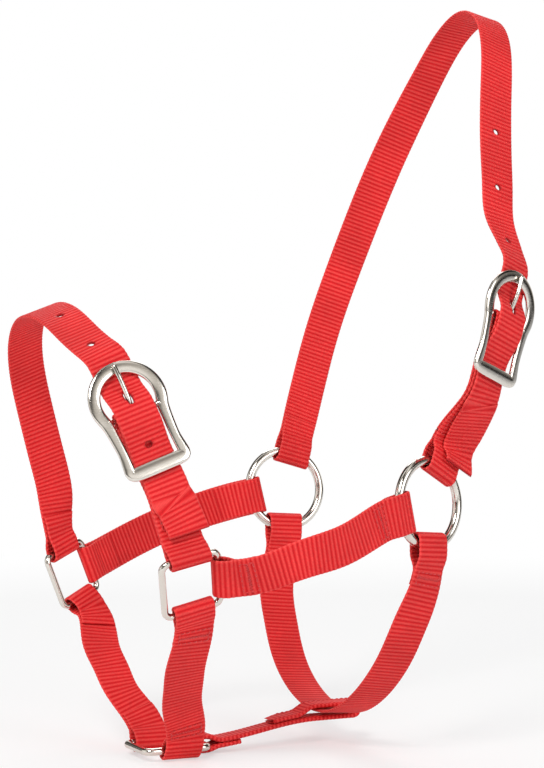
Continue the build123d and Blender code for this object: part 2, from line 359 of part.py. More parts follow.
NEAR_CHEEK = StrapLine(126.877, [
    (92.53, -80.21, 118.16, 0.3881, -0.2338, 0.8915), (95.59, -76.18, 117.83, 0.3936, -0.2265, 0.8909),
    (98.58, -72.08, 117.66, 0.3655, -0.2670, 0.8917), (101.31, -67.82, 118.02, 0.3325, -0.3269, 0.8846),
    (103.72, -63.44, 118.89, 0.3120, -0.3707, 0.8748), (105.80, -58.99, 120.13, 0.2989, -0.3971, 0.8678),
    (107.58, -54.48, 121.62, 0.2890, -0.4071, 0.8664), (109.09, -49.92, 123.26, 0.2801, -0.4025, 0.8715),
    (110.33, -45.30, 124.95, 0.2714, -0.3839, 0.8826), (111.33, -40.60, 126.59, 0.2627, -0.3506, 0.8989),
    (112.11, -35.82, 128.09, 0.2542, -0.3021, 0.9188), (112.67, -30.95, 129.41, 0.2401, -0.2602, 0.9352),
    (113.00, -26.03, 130.62, 0.2197, -0.2365, 0.9465), (113.10, -21.10, 131.81, 0.1959, -0.2327, 0.9526),
    (112.95, -16.19, 133.07, 0.1728, -0.2498, 0.9528), (112.57, -11.33, 134.50, 0.1548, -0.2875, 0.9452),
    (111.94, -6.58, 136.16, 0.1415, -0.3282, 0.9340), (111.10, -1.93, 138.00, 0.1285, -0.3555, 0.9258),
    (110.07, 2.65, 139.94, 0.1149, -0.3698, 0.9220), (108.90, 7.18, 141.90, 0.1002, -0.3713, 0.9231),
    (107.59, 11.70, 143.82, 0.0839, -0.3599, 0.9292), (106.18, 16.23, 145.62, 0.0657, -0.3348, 0.9400),
    (104.70, 20.80, 147.24, 0.0457, -0.2948, 0.9545), (103.16, 25.44, 148.59, 0.0245, -0.2387, 0.9708),
    (101.60, 30.16, 149.64, 0.0107, -0.1969, 0.9804), (100.04, 34.89, 150.61, 0.0133, -0.2047, 0.9787),
])
OFF_CHEEK = StrapLine(133.133, [
    (-106.90, -84.35, 111.24, 0.0300, 0.3504, -0.9361), (-108.76, -80.05, 112.79, 0.0305, 0.3494, -0.9365),
    (-110.59, -75.74, 114.35, 0.0284, 0.3543, -0.9347), (-112.35, -71.43, 115.95, 0.0237, 0.3611, -0.9322),
    (-113.99, -67.08, 117.61, 0.0166, 0.3656, -0.9306), (-115.51, -62.71, 119.32, 0.0081, 0.3684, -0.9296),
    (-116.88, -58.31, 121.06, -0.0007, 0.3701, -0.9290), (-118.07, -53.87, 122.84, -0.0085, 0.3712, -0.9285),
    (-119.07, -49.39, 124.64, -0.0140, 0.3719, -0.9282), (-119.85, -44.88, 126.47, -0.0157, 0.3718, -0.9282),
    (-120.43, -40.33, 128.28, -0.0163, 0.3662, -0.9304), (-120.94, -35.76, 130.06, -0.0167, 0.3542, -0.9350),
    (-121.50, -31.16, 131.76, -0.0160, 0.3365, -0.9416), (-122.19, -26.55, 133.37, -0.0139, 0.3179, -0.9480),
    (-122.91, -21.92, 134.90, -0.0134, 0.3084, -0.9512), (-123.48, -17.27, 136.41, -0.0146, 0.3079, -0.9513),
    (-123.65, -12.59, 137.95, -0.0153, 0.3176, -0.9481), (-123.15, -7.96, 139.55, -0.0083, 0.3390, -0.9408),
    (-121.65, -3.57, 141.21, 0.0183, 0.3646, -0.9310), (-119.14, 0.33, 142.85, 0.0580, 0.3644, -0.9294),
    (-116.04, 3.83, 144.43, 0.0897, 0.3418, -0.9355), (-112.71, 7.13, 145.94, 0.1108, 0.3110, -0.9439),
    (-109.35, 10.44, 147.39, 0.1240, 0.2788, -0.9523), (-106.21, 13.97, 148.78, 0.1307, 0.2482, -0.9599),
    (-103.60, 17.94, 150.10, 0.1306, 0.2205, -0.9666), (-102.03, 22.44, 151.27, 0.1230, 0.1941, -0.9732),
    (-101.68, 27.26, 152.22, 0.1207, 0.1780, -0.9766), (-101.67, 32.11, 153.11, 0.1207, 0.1815, -0.9760),
])
NEAR_CHIN = StrapLine(120.718, [
    (84.81, -93.05, 98.63, 0.0555, 0.9715, 0.2306), (82.55, -91.84, 94.31, 0.0603, 0.9690, 0.2397),
    (80.24, -90.74, 89.98, 0.0348, 0.9806, 0.1931), (77.77, -90.00, 85.66, 0.0027, 0.9918, 0.1276),
    (75.13, -89.58, 81.40, -0.0102, 0.9969, 0.0784), (72.36, -89.35, 77.21, -0.0063, 0.9989, 0.0462),
    (69.45, -89.19, 73.11, 0.0114, 0.9994, 0.0319), (66.42, -88.98, 69.10, 0.0405, 0.9985, 0.0373),
    (63.27, -88.60, 65.20, 0.0788, 0.9948, 0.0653), (60.01, -87.93, 61.43, 0.1233, 0.9857, 0.1152),
    (56.67, -86.95, 57.80, 0.1526, 0.9765, 0.1523), (53.30, -85.81, 54.24, 0.1601, 0.9729, 0.1672),
    (49.92, -84.67, 50.70, 0.1468, 0.9762, 0.1595), (46.55, -83.63, 47.11, 0.1360, 0.9790, 0.1516),
    (43.22, -82.57, 43.49, 0.1482, 0.9747, 0.1672), (39.96, -81.33, 39.87, 0.1825, 0.9612, 0.2066),
    (36.80, -79.76, 36.28, 0.2264, 0.9392, 0.2581), (33.75, -77.93, 32.73, 0.2491, 0.9247, 0.2878),
    (30.77, -75.99, 29.18, 0.2504, 0.9220, 0.2952), (27.83, -74.09, 25.57, 0.2312, 0.9317, 0.2801),
    (24.89, -72.39, 21.85, 0.1907, 0.9521, 0.2392), (21.93, -71.07, 18.01, 0.1282, 0.9775, 0.1673),
    (18.96, -70.33, 14.03, 0.0452, 0.9971, 0.0615), (16.00, -70.24, 9.96, -0.0107, 0.9998, -0.0148),
    (13.05, -70.33, 5.89, 0.0000, 1.0000, 0.0000),
])
OFF_CHIN = StrapLine(117.712, [
    (-98.54, -92.88, 89.73, 0.4504, -0.8408, -0.3003), (-96.03, -90.18, 86.50, 0.4693, -0.8212, -0.3245),
    (-93.38, -87.74, 83.18, 0.3760, -0.9026, -0.2095), (-90.25, -86.41, 79.67, 0.1877, -0.9820, -0.0188),
    (-86.83, -86.21, 76.17, 0.0304, -0.9951, 0.0941), (-83.32, -86.71, 72.77, -0.0712, -0.9879, 0.1378),
    (-79.80, -87.54, 69.47, -0.1198, -0.9829, 0.1397), (-76.25, -88.41, 66.19, -0.1200, -0.9863, 0.1133),
    (-72.69, -89.06, 62.89, -0.0700, -0.9958, 0.0584), (-69.15, -89.20, 59.51, 0.0285, -0.9992, -0.0262),
    (-65.66, -88.76, 56.08, 0.0996, -0.9915, -0.0838), (-62.25, -88.04, 52.64, 0.1239, -0.9878, -0.0948),
    (-58.85, -87.36, 49.18, 0.1019, -0.9931, -0.0583), (-55.43, -86.92, 45.68, 0.0844, -0.9962, -0.0228),
    (-52.04, -86.52, 42.16, 0.1095, -0.9935, -0.0297), (-48.70, -85.87, 38.63, 0.1735, -0.9813, -0.0833),
    (-45.49, -84.69, 35.12, 0.2534, -0.9525, -0.1687), (-42.42, -83.04, 31.67, 0.2944, -0.9274, -0.2307),
    (-39.47, -81.15, 28.24, 0.2997, -0.9161, -0.2662), (-36.58, -79.21, 24.78, 0.2752, -0.9215, -0.2741),
    (-33.71, -77.42, 21.23, 0.2241, -0.9422, -0.2489), (-30.80, -76.01, 17.54, 0.1478, -0.9723, -0.1812),
    (-27.86, -75.21, 13.71, 0.0490, -0.9967, -0.0643), (-24.90, -75.12, 9.80, -0.0136, -0.9997, 0.0180),
    (-21.95, -75.23, 5.89, -0.0000, -1.0000, 0.0000),
])


# ---------------------------------------------------------------- tracks
# A track is a list of (distance, rise, sideways) in the frame of a strap line.
def ease(x, start, end, first, last):
    """Smooth passage from first at start to last at end."""
    part = max(0.0, min(1.0, (x - start) / (end - start)))
    return first + (last - first) * (0.5 - 0.5 * math.cos(math.pi * part))


def rise_at(stations, x):
    """Height at x, eased between (distance, height) stations."""
    for (start, first), (end, last) in zip(stations, stations[1:]):
        if x < end:
            return ease(x, start, end, first, last)
    return stations[-1][1]


def spread(start, end, step=STEP):
    """Distances strictly between start and end, about one step apart."""
    count = max(1, int(round((end - start) / step)))
    return [start + (end - start) * i / count for i in range(1, count)]


def half_turn(x, z, radius, side=-1):
    """Half circle from below its centre to above it, bulging towards side."""
    angles = [math.radians(-90 + 22.5 * k) for k in range(9)]
    return [(x + side * radius * math.cos(a), z + radius * math.sin(a)) for a in angles]


def layer(distances, rise):
    return [(s, rise, 0.0) for s in distances]


def flip(track, length):
    """The track of a fold at distance 0, moved to the far end of its line."""
    return [(length - s, rise, sideways) for s, rise, sideways in reversed(track)]


def loop_track(bar_r, sag, run):
    """Fold round a bar at distance 0, from the inner layer to the outer layer."""
    radius = bar_r + LOOP_GAP + WEB_T / 2
    lead = bar_r + FOLD_LEAD
    closing = [lead + run * k / 4 for k in range(5)]
    outer = [(s, ease(s, lead, lead + run, radius, HALF)) for s in closing]
    inner = [(s, -rise) for s, rise in reversed(outer)]
    return [(s, rise, 0.0) for s, rise in inner + half_turn(-sag, 0.0, radius) + outer]


def folded_end(fold):
    """Sewn end at distance 0, from its cut edge round the bar to the outer layer."""
    loop = loop_track(*fold)
    return layer([FOLD_LEN, *reversed(spread(loop[0][0], FOLD_LEN))], -HALF) + loop


def two_ended_track(line, first, last):
    """Strap folded back and sewn round a bar at both ends."""
    start = folded_end(first)
    end = flip(folded_end(last), line.length)
    return start + layer(spread(start[-1][0], end[0][0]), HALF) + end


def adjusting_track(line, bar_at, fold, tail_end, tail_rise, tail_shift):
    """Strap sewn at its start, run through the buckle to a loose tail."""
    track = folded_end(fold)
    track += layer(spread(track[-1][0], bar_at - BUCKLE_REACH), HALF)
    for u in range(-BUCKLE_REACH, BUCKLE_REACH + 1, BUCKLE_STEP):
        track.append((bar_at + u, rise_at(ADJUSTING_RISE, u), 0.0))
    curl = tail_end - TAIL_LEN
    tail = spread(bar_at + BUCKLE_REACH, curl, FINE_STEP)
    tail += [curl + TAIL_LEN * i / 5 for i in range(6)]
    for s in tail:
        rise = HALF + TAIL_LIFT + ease(s, curl, tail_end, 0.0, tail_rise)
        track.append((s, rise, ease(s, bar_at + TAIL_SHIFT_FROM, tail_end, 0.0, tail_shift)))
    return track


def billet_track(line, bar_at, fold):
    """Doubled strap: butt joint, inner layer, buckle bar, outer layer, ring at the end."""
    ring_loop = flip(loop_track(*fold), line.length)
    ring_side = ring_loop[0][0]
    bar_side = bar_at + BUCKLE_REACH
    butt = ring_side - BUTT_SETBACK
    shaped = range(BILLET_FROM, BUCKLE_REACH + 1, BUCKLE_STEP)

    inner = [butt - BUTT_HALF_GAP]
    inner += reversed(spread(bar_side, butt - BUTT_HALF_GAP, FINE_STEP))
    track = layer(inner, -HALF)
    track += [(bar_at + u, rise_at(INNER_BILLET_RISE, u), 0.0) for u in reversed(shaped)]
    track += [(s, rise, 0.0) for s, rise in half_turn(bar_at, BAR_RISE, BAR_WRAP_R)]
    track += [(bar_at + u, rise_at(OUTER_BILLET_RISE, u), 0.0) for u in shaped]
    track += layer(spread(bar_side, ring_side, FINE_STEP), HALF)
    return track + ring_loop + layer([butt + BUTT_HALF_GAP], -HALF)


# ---------------------------------------------------------------- straps
def ribbon(planes, width, thickness):
    """Plain strap or thread through its section planes."""
    with BuildPart() as strap:
        for plane in planes:
            with BuildSketch(plane):
                Rectangle(width, thickness)
        loft(ruled=True)
    return strap.part


def place(plane, x, y, z):
    return plane.from_local_coords(Vector(x, y, z))


def tongue_points(buckle):
    return [place(buckle, 0, y, z) for y, z in TONGUE_PTS]


def tongue_cut(buckle):
    """Clearance round the tongue rod."""
    points = tongue_points(buckle)
    with BuildPart() as cut:
        with BuildLine() as rod_line:
            Polyline(*points)
        with BuildSketch(Plane(origin=points[0], z_dir=rod_line.wire() % 0)):
            Circle(TONGUE_R + TONGUE_CUT_GAP)
        sweep(transition=Transition.ROUND)
    return cut.part


def adjusting_strap(line, track, bar_at, buckle, holes):
    """Strap that runs through a buckle, with punched holes and the tongue through it."""
    rod_cut = tongue_cut(buckle)
    with BuildPart() as strap:
        for plane in line.sections(track):
            with BuildSketch(plane):
                Rectangle(WEB_W, WEB_T)
        loft(ruled=True)
        for u in holes:
            with BuildSketch(line.face_plane(bar_at + u, rise_at(ADJUSTING_RISE, u))):
                Circle(HOLE_D / 2)
            extrude(amount=HOLE_CUT, both=True, mode=Mode.SUBTRACT)
        add(rod_cut, mode=Mode.SUBTRACT)
    return strap.part


def buckle_strap(line, track, buckle):
    """Doubled strap that carries a buckle, with a slot for the tongue coil at the fold."""
    with BuildPart() as strap:
        for plane in line.sections(track):
            with BuildSketch(plane):
                Rectangle(WEB_W, WEB_T)
        loft(ruled=True)
        with BuildSketch(buckle.offset(-BAR_DROP - COIL_R - SLOT_CLEAR)):
            Rectangle(COIL_W + SLOT_SPARE, SLOT_LEN)
        extrude(amount=2 * (COIL_R + SLOT_CLEAR), mode=Mode.SUBTRACT)
    return strap.part


def jaw_strap():
    """Strap in the plane of symmetry: folded round the rear bar of the chin ring,
    back under the throat strap, round its rear edge and sewn to itself in front of it."""
    ring_y = CHIN_RING.origin.Y + CHIN_HALF_Y
    ring_z = CHIN_RING.origin.Z
    throat_z = THROAT_LOW_Z - HALF
    front_y = THROAT_LOW_Y - WEB_W / 2 - 1.0    # just clear of the throat strap's edges
    rear_y = THROAT_LOW_Y + WEB_W / 2 + 1.0
    turn_y = THROAT_LOW_Y + WEB_W / 2 + 1.6
    top_z = throat_z + JAW_DROP
    wrap_r = CHIN_WIRE / 2 + LOOP_GAP + JAW_T / 2
    fold_start, fold_run = 3.5, 10.5            # where the fold at the ring closes
    quarters = (0.25, 0.5, 0.75, 1.0)

    def base(y):
        """Height of the middle layer from the chin ring to the throat strap."""
        start, end = ring_y + 4.0, THROAT_LOW_Y - 12.0
        return ease(y, start, end, ring_z + 1.2, throat_z - JAW_DROP)

    closed_z = base(ring_y + fold_start + fold_run)

    def closing(parts, first, last):
        return [
            (ring_y + fold_start + fold_run * part, ease(part, 0.0, 1.0, first, last))
            for part in parts
        ]

    # lower layer, from its cut end forward to the ring and round its bar
    track = [(ring_y + y, base(ring_y + y) - JAW_LAP) for y in (28.0, 22.5, 17.0)]
    track += closing((0.75, 0.5, 0.25, 0.0), ring_z - wrap_r, closed_z - JAW_LAP)
    track += half_turn(ring_y, ring_z, wrap_r)
    # middle layer, back under the throat strap
    track += closing((0.0, *quarters), ring_z + wrap_r, closed_z)
    y = ring_y + 20.0
    while y < rear_y:
        track.append((y, base(y)))
        y += STEP
    # round the rear edge, forward over the throat strap and down to the middle layer
    track += half_turn(turn_y, throat_z, JAW_DROP, side=1)
    track += [(THROAT_LOW_Y + y, top_z) for y in (8.0, 0.0, -8.0)]
    track.append((front_y, top_z))
    for part in quarters:
        y = front_y - 13.0 * part
        track.append((y, ease(part, 0.0, 1.0, top_z, base(y) + JAW_LAP)))
    for k in (1, 2, 3):
        y = front_y - 13.0 - STEP * k
        track.append((y, base(y) + JAW_LAP))

    points = [Vector(CHIN_RING.origin.X, y, z) for y, z in track]
    return ribbon(section_planes(points, [Vector(1, 0, 0)] * len(points)), JAW_W, JAW_T)


# ---------------------------------------------------------------- rings
def wire_section(plane, reach):
    """Section plane of a ring's wire on its +x side: x outward, z along the wire."""
    return Plane(origin=plane.origin + plane.x_dir * reach, x_dir=plane.x_dir, z_dir=plane.y_dir)


def round_ring(plane):
    with BuildPart() as ring:
        with BuildSketch(wire_section(plane, ROUND_R)):
            Circle(ROUND_WIRE / 2)
        revolve(axis=Axis(plane.origin, plane.z_dir), revolution_arc=360)
    return ring.part


def square_wire(plane, half_x, half_y):
    """Rounded rectangle of bar centre lines, started in the middle of the +x bar."""
    x, y = half_x - CORNER_R, half_y - CORNER_R
    inset = CORNER_R * (1 - math.sqrt(0.5))
    mid_x, mid_y = half_x - inset, half_y - inset
    # start, middle and end of each corner arc
    corners = [
        ((half_x, y), (mid_x, mid_y), (x, half_y)),
        ((-x, half_y), (-mid_x, mid_y), (-half_x, y)),
        ((-half_x, -y), (-mid_x, -mid_y), (-x, -half_y)),
        ((x, -half_y), (mid_x, -mid_y), (half_x, -y)),
    ]
    middle = place(plane, half_x, 0, 0)
    edges = []
    last = middle
    for corner in corners:
        start, mid, end = [place(plane, *point, 0) for point in corner]
        edges += [Edge.make_line(last, start), Edge.make_three_point_arc(start, mid, end)]
        last = end
    return Wire([*edges, Edge.make_line(last, middle)])


def square_ring(plane, half_x, half_y, wire_d):
    with BuildPart() as ring:
        with BuildSketch(wire_section(plane, half_x)):
            Circle(wire_d / 2)
        sweep(path=square_wire(plane, half_x, half_y))
    return ring.part


# ---------------------------------------------------------------- buckles
# A buckle plane has x across the strap, y from the bar towards the arc, z outward.
def buckle_frame(plane):
    with BuildPart() as frame:
        with BuildSketch(plane.offset(-FRAME_T / 2)):
            with Locations((0, ARC_AT)):
                Circle(ARC_R)
            with BuildLine():
                Polyline(*[(-x, y) for x, y in FRAME_SIDE], *reversed(FRAME_SIDE), close=True)
            make_face()
            with Locations((0, ARC_AT)):
                Circle(ARC_IN, mode=Mode.SUBTRACT)
            with Locations((0, (ARC_AT - KEEPER_AT + KEEPER_BAR_W) / 2)):
                Rectangle(WINDOW_W, ARC_AT + KEEPER_AT - KEEPER_BAR_W, mode=Mode.SUBTRACT)
        extrude(amount=FRAME_T)
        outer_face = frame.faces().sort_by(Axis(plane.origin, plane.z_dir))[-1]
        chamfer(outer_face.edges(), FRAME_CHAMFER)
        with BuildSketch(Plane(origin=place(plane, -BAR_LEN / 2, 0, -BAR_DROP), z_dir=plane.x_dir)):
            Circle(BAR_R)
        extrude(amount=BAR_LEN)
    return frame.part


def buckle_tongue(plane):
    """A coil round the bar with a bent rod running out to the arc."""
    coil_end = place(plane, -COIL_W / 2, 0, -BAR_DROP)
    points = tongue_points(plane)
    with BuildPart() as tongue:
        with BuildSketch(Plane(origin=coil_end, x_dir=plane.z_dir, z_dir=plane.x_dir)):
            Circle(COIL_R)
            Circle(BAR_R + COIL_GAP, mode=Mode.SUBTRACT)
        extrude(amount=COIL_W)
        with BuildLine() as rod_line:
            Polyline(*points)
        with BuildSketch(Plane(origin=points[0], x_dir=plane.x_dir, z_dir=rod_line.wire() % 0)):
            Circle(TONGUE_R)
        sweep(transition=Transition.RIGHT)
    return tongue.part


# ---------------------------------------------------------------- seams
def cross_thread(line, distance):
    """Crosswise run of a seam."""
    _, travel, across, _ = line.at(distance)
    half_len = SEAM_HALF_W + THREAD_W / 2 + CROSS_PROUD
    start = line.point(distance, SEAM_RISE, -half_len)
    with BuildPart() as run:
        with BuildSketch(Plane(origin=start, x_dir=travel, z_dir=across)):
            Rectangle(THREAD_W, THREAD_T + 2 * CROSS_PROUD)
        extrude(amount=2 * half_len)
    return run.part


def seam(line, start, end):
    """Closed rectangle of thread on the outer face, between two distances."""
    distances = [start + (end - start) * i / 4 for i in range(5)]
    runs = []
    for sideways in (-SEAM_HALF_W, SEAM_HALF_W):
        track = [(s, SEAM_RISE, sideways) for s in distances]
        runs.append(ribbon(line.sections(track), THREAD_W, THREAD_T))
    runs += [cross_thread(line, start), cross_thread(line, end)]
    with BuildPart() as thread:
        for run in runs:
            add(run)
    return thread.part


def far_end(line, span):
    """A span measured from the far end of a line."""
    return line.length - span[1], line.length - span[0]


# ---------------------------------------------------------------- build and write
def save(name, part):
    part.label = name
    export_step(part, f"parts/{name}.step")


# name: line, bar distance, folds at the start and at the end, holes, and the tail:
# where it ends, how far it curls up and how far it drifts sideways
BUCKLED = {
    "noseband": (NOSEBAND, NOSEBAND_BAR_AT, NOSEBAND_FOLD, NOSEBAND_BILLET_FOLD,
                 NOSEBAND_HOLES, (NOSEBAND.length - 13.5, 1.0, 4.0)),
    "crown": (CROWN, CROWN_BAR_AT, ROUND_FOLD, ROUND_FOLD,
              CROWN_HOLES, (CROWN.length - 1.0, 4.6, 8.0)),
}
for name, (line, bar_at, first, last, holes, tail) in BUCKLED.items():
    buckle = line.face_plane(bar_at, FRAME_RISE)
    track = adjusting_track(line, bar_at, first, *tail)
    save(f"{name}_strap", adjusting_strap(line, track, bar_at, buckle, holes))
    track = billet_track(line, bar_at, last)
    save(f"{name}_buckle_strap", buckle_strap(line, track, buckle))
    save(f"{name}_buckle_frame", buckle_frame(buckle))
    save(f"{name}_buckle_tongue", buckle_tongue(buckle))

# name: line, folds at the start and at the end
SEWN = {
    "near_cheek": (NEAR_CHEEK, CHEEK_FOLD, ROUND_FOLD),
    "off_cheek": (OFF_CHEEK, CHEEK_FOLD, ROUND_FOLD),
    "near_chin": (NEAR_CHIN, CHIN_UPPER_FOLD, CHIN_LOWER_FOLD),
    "off_chin": (OFF_CHIN, CHIN_UPPER_FOLD, CHIN_LOWER_FOLD),
    "throat": (THROAT, ROUND_FOLD, ROUND_FOLD),
}
for name, (line, first, last) in SEWN.items():
    planes = line.sections(two_ended_track(line, first, last))
    save(f"{name}_strap", ribbon(planes, WEB_W, WEB_T))
save("jaw_strap", jaw_strap())

save("off_cheek_ring", round_ring(OFF_CHEEK_RING))
save("near_cheek_ring", round_ring(NEAR_CHEEK_RING))
for name, plane in (("off_nose_ring", OFF_NOSE_RING), ("near_nose_ring", NEAR_NOSE_RING)):
    save(name, square_ring(plane, NOSE_RING_HALF, NOSE_RING_HALF, NOSE_RING_WIRE))
save("chin_ring", square_ring(CHIN_RING, CHIN_HALF_X, CHIN_HALF_Y, CHIN_WIRE))

# name: line, start and end of the seam
SEAMS = {
    "noseband": (NOSEBAND, SQUARE_SEAM),
    "crown": (CROWN, ROUND_SEAM),
    "near_cheek_front": (NEAR_CHEEK, SQUARE_SEAM),
    "near_cheek_rear": (NEAR_CHEEK, far_end(NEAR_CHEEK, ROUND_SEAM)),
    "off_cheek_front": (OFF_CHEEK, SQUARE_SEAM),
    "off_cheek_rear": (OFF_CHEEK, far_end(OFF_CHEEK, ROUND_SEAM)),
    "near_chin_upper": (NEAR_CHIN, SQUARE_SEAM),
    "near_chin_lower": (NEAR_CHIN, far_end(NEAR_CHIN, SQUARE_SEAM)),
    "off_chin_upper": (OFF_CHIN, SQUARE_SEAM),
    "off_chin_lower": (OFF_CHIN, far_end(OFF_CHIN, SQUARE_SEAM)),
    "off_throat": (THROAT, ROUND_SEAM),
    "near_throat": (THROAT, far_end(THROAT, ROUND_SEAM)),
}
for name, (line, span) in SEAMS.items():
    save(f"{name}_stitching", seam(line, *span))
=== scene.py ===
"""Flat webbing halter with nickel rings and two buckles.

The halter stands on the floor at z = 0. The nose end is towards -Y, the crown strap runs over
the top behind it, the near side is +X and the off side is -X. Lengths are in millimetres and
are turned into metres when a mesh is made; the studio is in metres.
"""

import json
import math
from collections import namedtuple

import bmesh
import bpy
import numpy as np
from mathutils import Matrix, Vector

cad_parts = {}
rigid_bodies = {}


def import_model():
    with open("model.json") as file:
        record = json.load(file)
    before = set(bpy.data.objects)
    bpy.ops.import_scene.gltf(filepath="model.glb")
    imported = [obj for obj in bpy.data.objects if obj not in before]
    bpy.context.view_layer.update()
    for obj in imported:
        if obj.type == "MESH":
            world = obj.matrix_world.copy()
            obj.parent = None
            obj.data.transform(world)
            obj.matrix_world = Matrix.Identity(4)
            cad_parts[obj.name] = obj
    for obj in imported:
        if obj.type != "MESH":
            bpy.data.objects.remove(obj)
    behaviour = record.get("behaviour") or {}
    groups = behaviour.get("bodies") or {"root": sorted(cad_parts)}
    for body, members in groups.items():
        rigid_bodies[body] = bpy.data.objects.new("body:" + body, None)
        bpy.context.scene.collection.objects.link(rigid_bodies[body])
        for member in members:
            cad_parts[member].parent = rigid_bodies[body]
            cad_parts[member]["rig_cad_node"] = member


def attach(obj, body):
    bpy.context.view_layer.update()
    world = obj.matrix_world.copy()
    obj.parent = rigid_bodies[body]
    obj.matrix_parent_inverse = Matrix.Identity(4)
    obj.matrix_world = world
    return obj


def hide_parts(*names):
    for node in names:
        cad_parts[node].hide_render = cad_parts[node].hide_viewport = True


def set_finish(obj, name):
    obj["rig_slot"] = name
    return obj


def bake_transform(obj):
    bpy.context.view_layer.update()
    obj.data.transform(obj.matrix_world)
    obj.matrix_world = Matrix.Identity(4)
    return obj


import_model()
for default_name in ("Cube", "Light", "Camera"):
    default = bpy.data.objects.get(default_name)
    if default is not None and "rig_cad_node" not in default:
        bpy.data.objects.remove(default)
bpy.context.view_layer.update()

# ------------------------------------------------------------------ driving dimensions (mm)
MM = 0.001              # metres in a millimetre
WEB_W = 25.0            # webbing width
WEB_T = 1.8             # webbing thickness
LAYER_GAP = 0.2         # air between two sewn layers
HALF_LAYER = (WEB_T + LAYER_GAP) / 2    # a layer's mid plane from the strap line
LOOP_GAP = 0.35         # air between the webbing and the metal it wraps
FOLD_LEN = 24.0         # length of a folded-back, sewn end
SEAM_HALF = 9.5         # seams, half width across the webbing
TRACK_STEP = 6.0        # spacing of the track points on the plain runs
FINE_STEP = 3.0         # the same beside a buckle

RIB = 2.8               # pitch of the crosswise ribs
SECTION_STEP = RIB / 8.0    # spacing of the mesh sections
COLS = 25               # columns across the webbing
UV_UNIT = 10.0          # millimetres in one UV unit

ROUND_R = 26.2          # round ring, radius of the wire centre line
ROUND_WIRE = 5.8
NOSE_RING_HALF = 17.4   # square nose rings, half distance between opposite bars
NOSE_RING_WIRE = 4.0
CHIN_HALF_X = 17.5      # chin ring, half distance between the side bars
CHIN_HALF_Y = 20.5      # chin ring, half distance between front and rear bar
CHIN_WIRE = 4.6
CORNER_R = 4.4          # corner radius of the square rings at the wire centre

FRAME_T = 3.0           # buckle frame thickness
FRAME_RISE = 5.5        # buckle frame mid plane above the strap line
BAR_DROP = 1.5          # buckle bar below the mid plane of its frame
BAR_RISE = FRAME_RISE - BAR_DROP
BAR_R = 1.8             # buckle bar radius
ARC_R = 23.3            # buckle top arc, outer radius
ARC_IN = 16.0           # buckle top arc, inner radius
ARC_AT = 8.5            # arc centre beyond the bar
TONGUE_R = 1.6          # tongue rod radius
TONGUE_SPAN = (2.2, 30.2)   # tongue rod, start and tip beyond the bar
# Tongue centre line: distance beyond the bar, height above the frame mid plane
TONGUE_PTS = [(2.6, -0.6), (18.5, 3.3), (29.5, 3.3)]
COIL_W = 6.0            # width of the tongue coil
COIL_CLEAR = 0.6        # webbing clear of the coil on either side

HOLE_D = 4.0            # punched hole diameter
CROWN_HOLE_PITCH = 40.0
NOSEBAND_HOLE_PITCH = 37.0
SPARE_HOLE = 19.4       # noseband hole on the keeper side of the bar
TONGUE_HOLE = 13.6      # distance from the bar that the hole rows start from

JAW_W = 14.0            # jaw strap: webbing folded lengthwise
JAW_T = 3.2


# ------------------------------------------------------------------ strap lines
def unit(vector):
    return vector / np.linalg.norm(vector)


class StrapLine:
    """A measured strap line, read at any distance along it.

    Each entry of rows is x y z of the centre line and the unit vector across the webbing.
    Entries are evenly spaced over the length; a text line holds two of them.
    """
    def __init__(self, length, rows):
        table = np.array(rows.split(), float).reshape(-1, 6)
        self.points, self.across = table[:, :3], table[:, 3:]
        self.length = length
        last = len(table) - 1
        self.spacing = length / last
        self.travel = np.array([unit(self.points[min(i + 1, last)] - self.points[max(i - 1, 0)])
                                for i in range(last + 1)])

    def at(self, s):
        """Point, travel, across and outward direction; the ends run on straight."""
        inside = max(0.0, min(s, self.length))
        place = inside / self.spacing
        i = min(int(place), len(self.points) - 2)
        f = place - i
        point, travel, across = (rows[i] * (1 - f) + rows[i + 1] * f
                                 for rows in (self.points, self.travel, self.across))
        travel = unit(travel)
        across = unit(across - travel * np.dot(across, travel))
        return point + travel * (s - inside), travel, across, np.cross(travel, across)

    def point(self, s, height=0.0, shift=0.0):
        """Point raised along the outward direction and shifted across."""
        point, _, across, outward = self.at(s)
        return point + outward * height + across * shift

    def metres(self, s):
        return tuple((self.point(s) * MM).tolist())


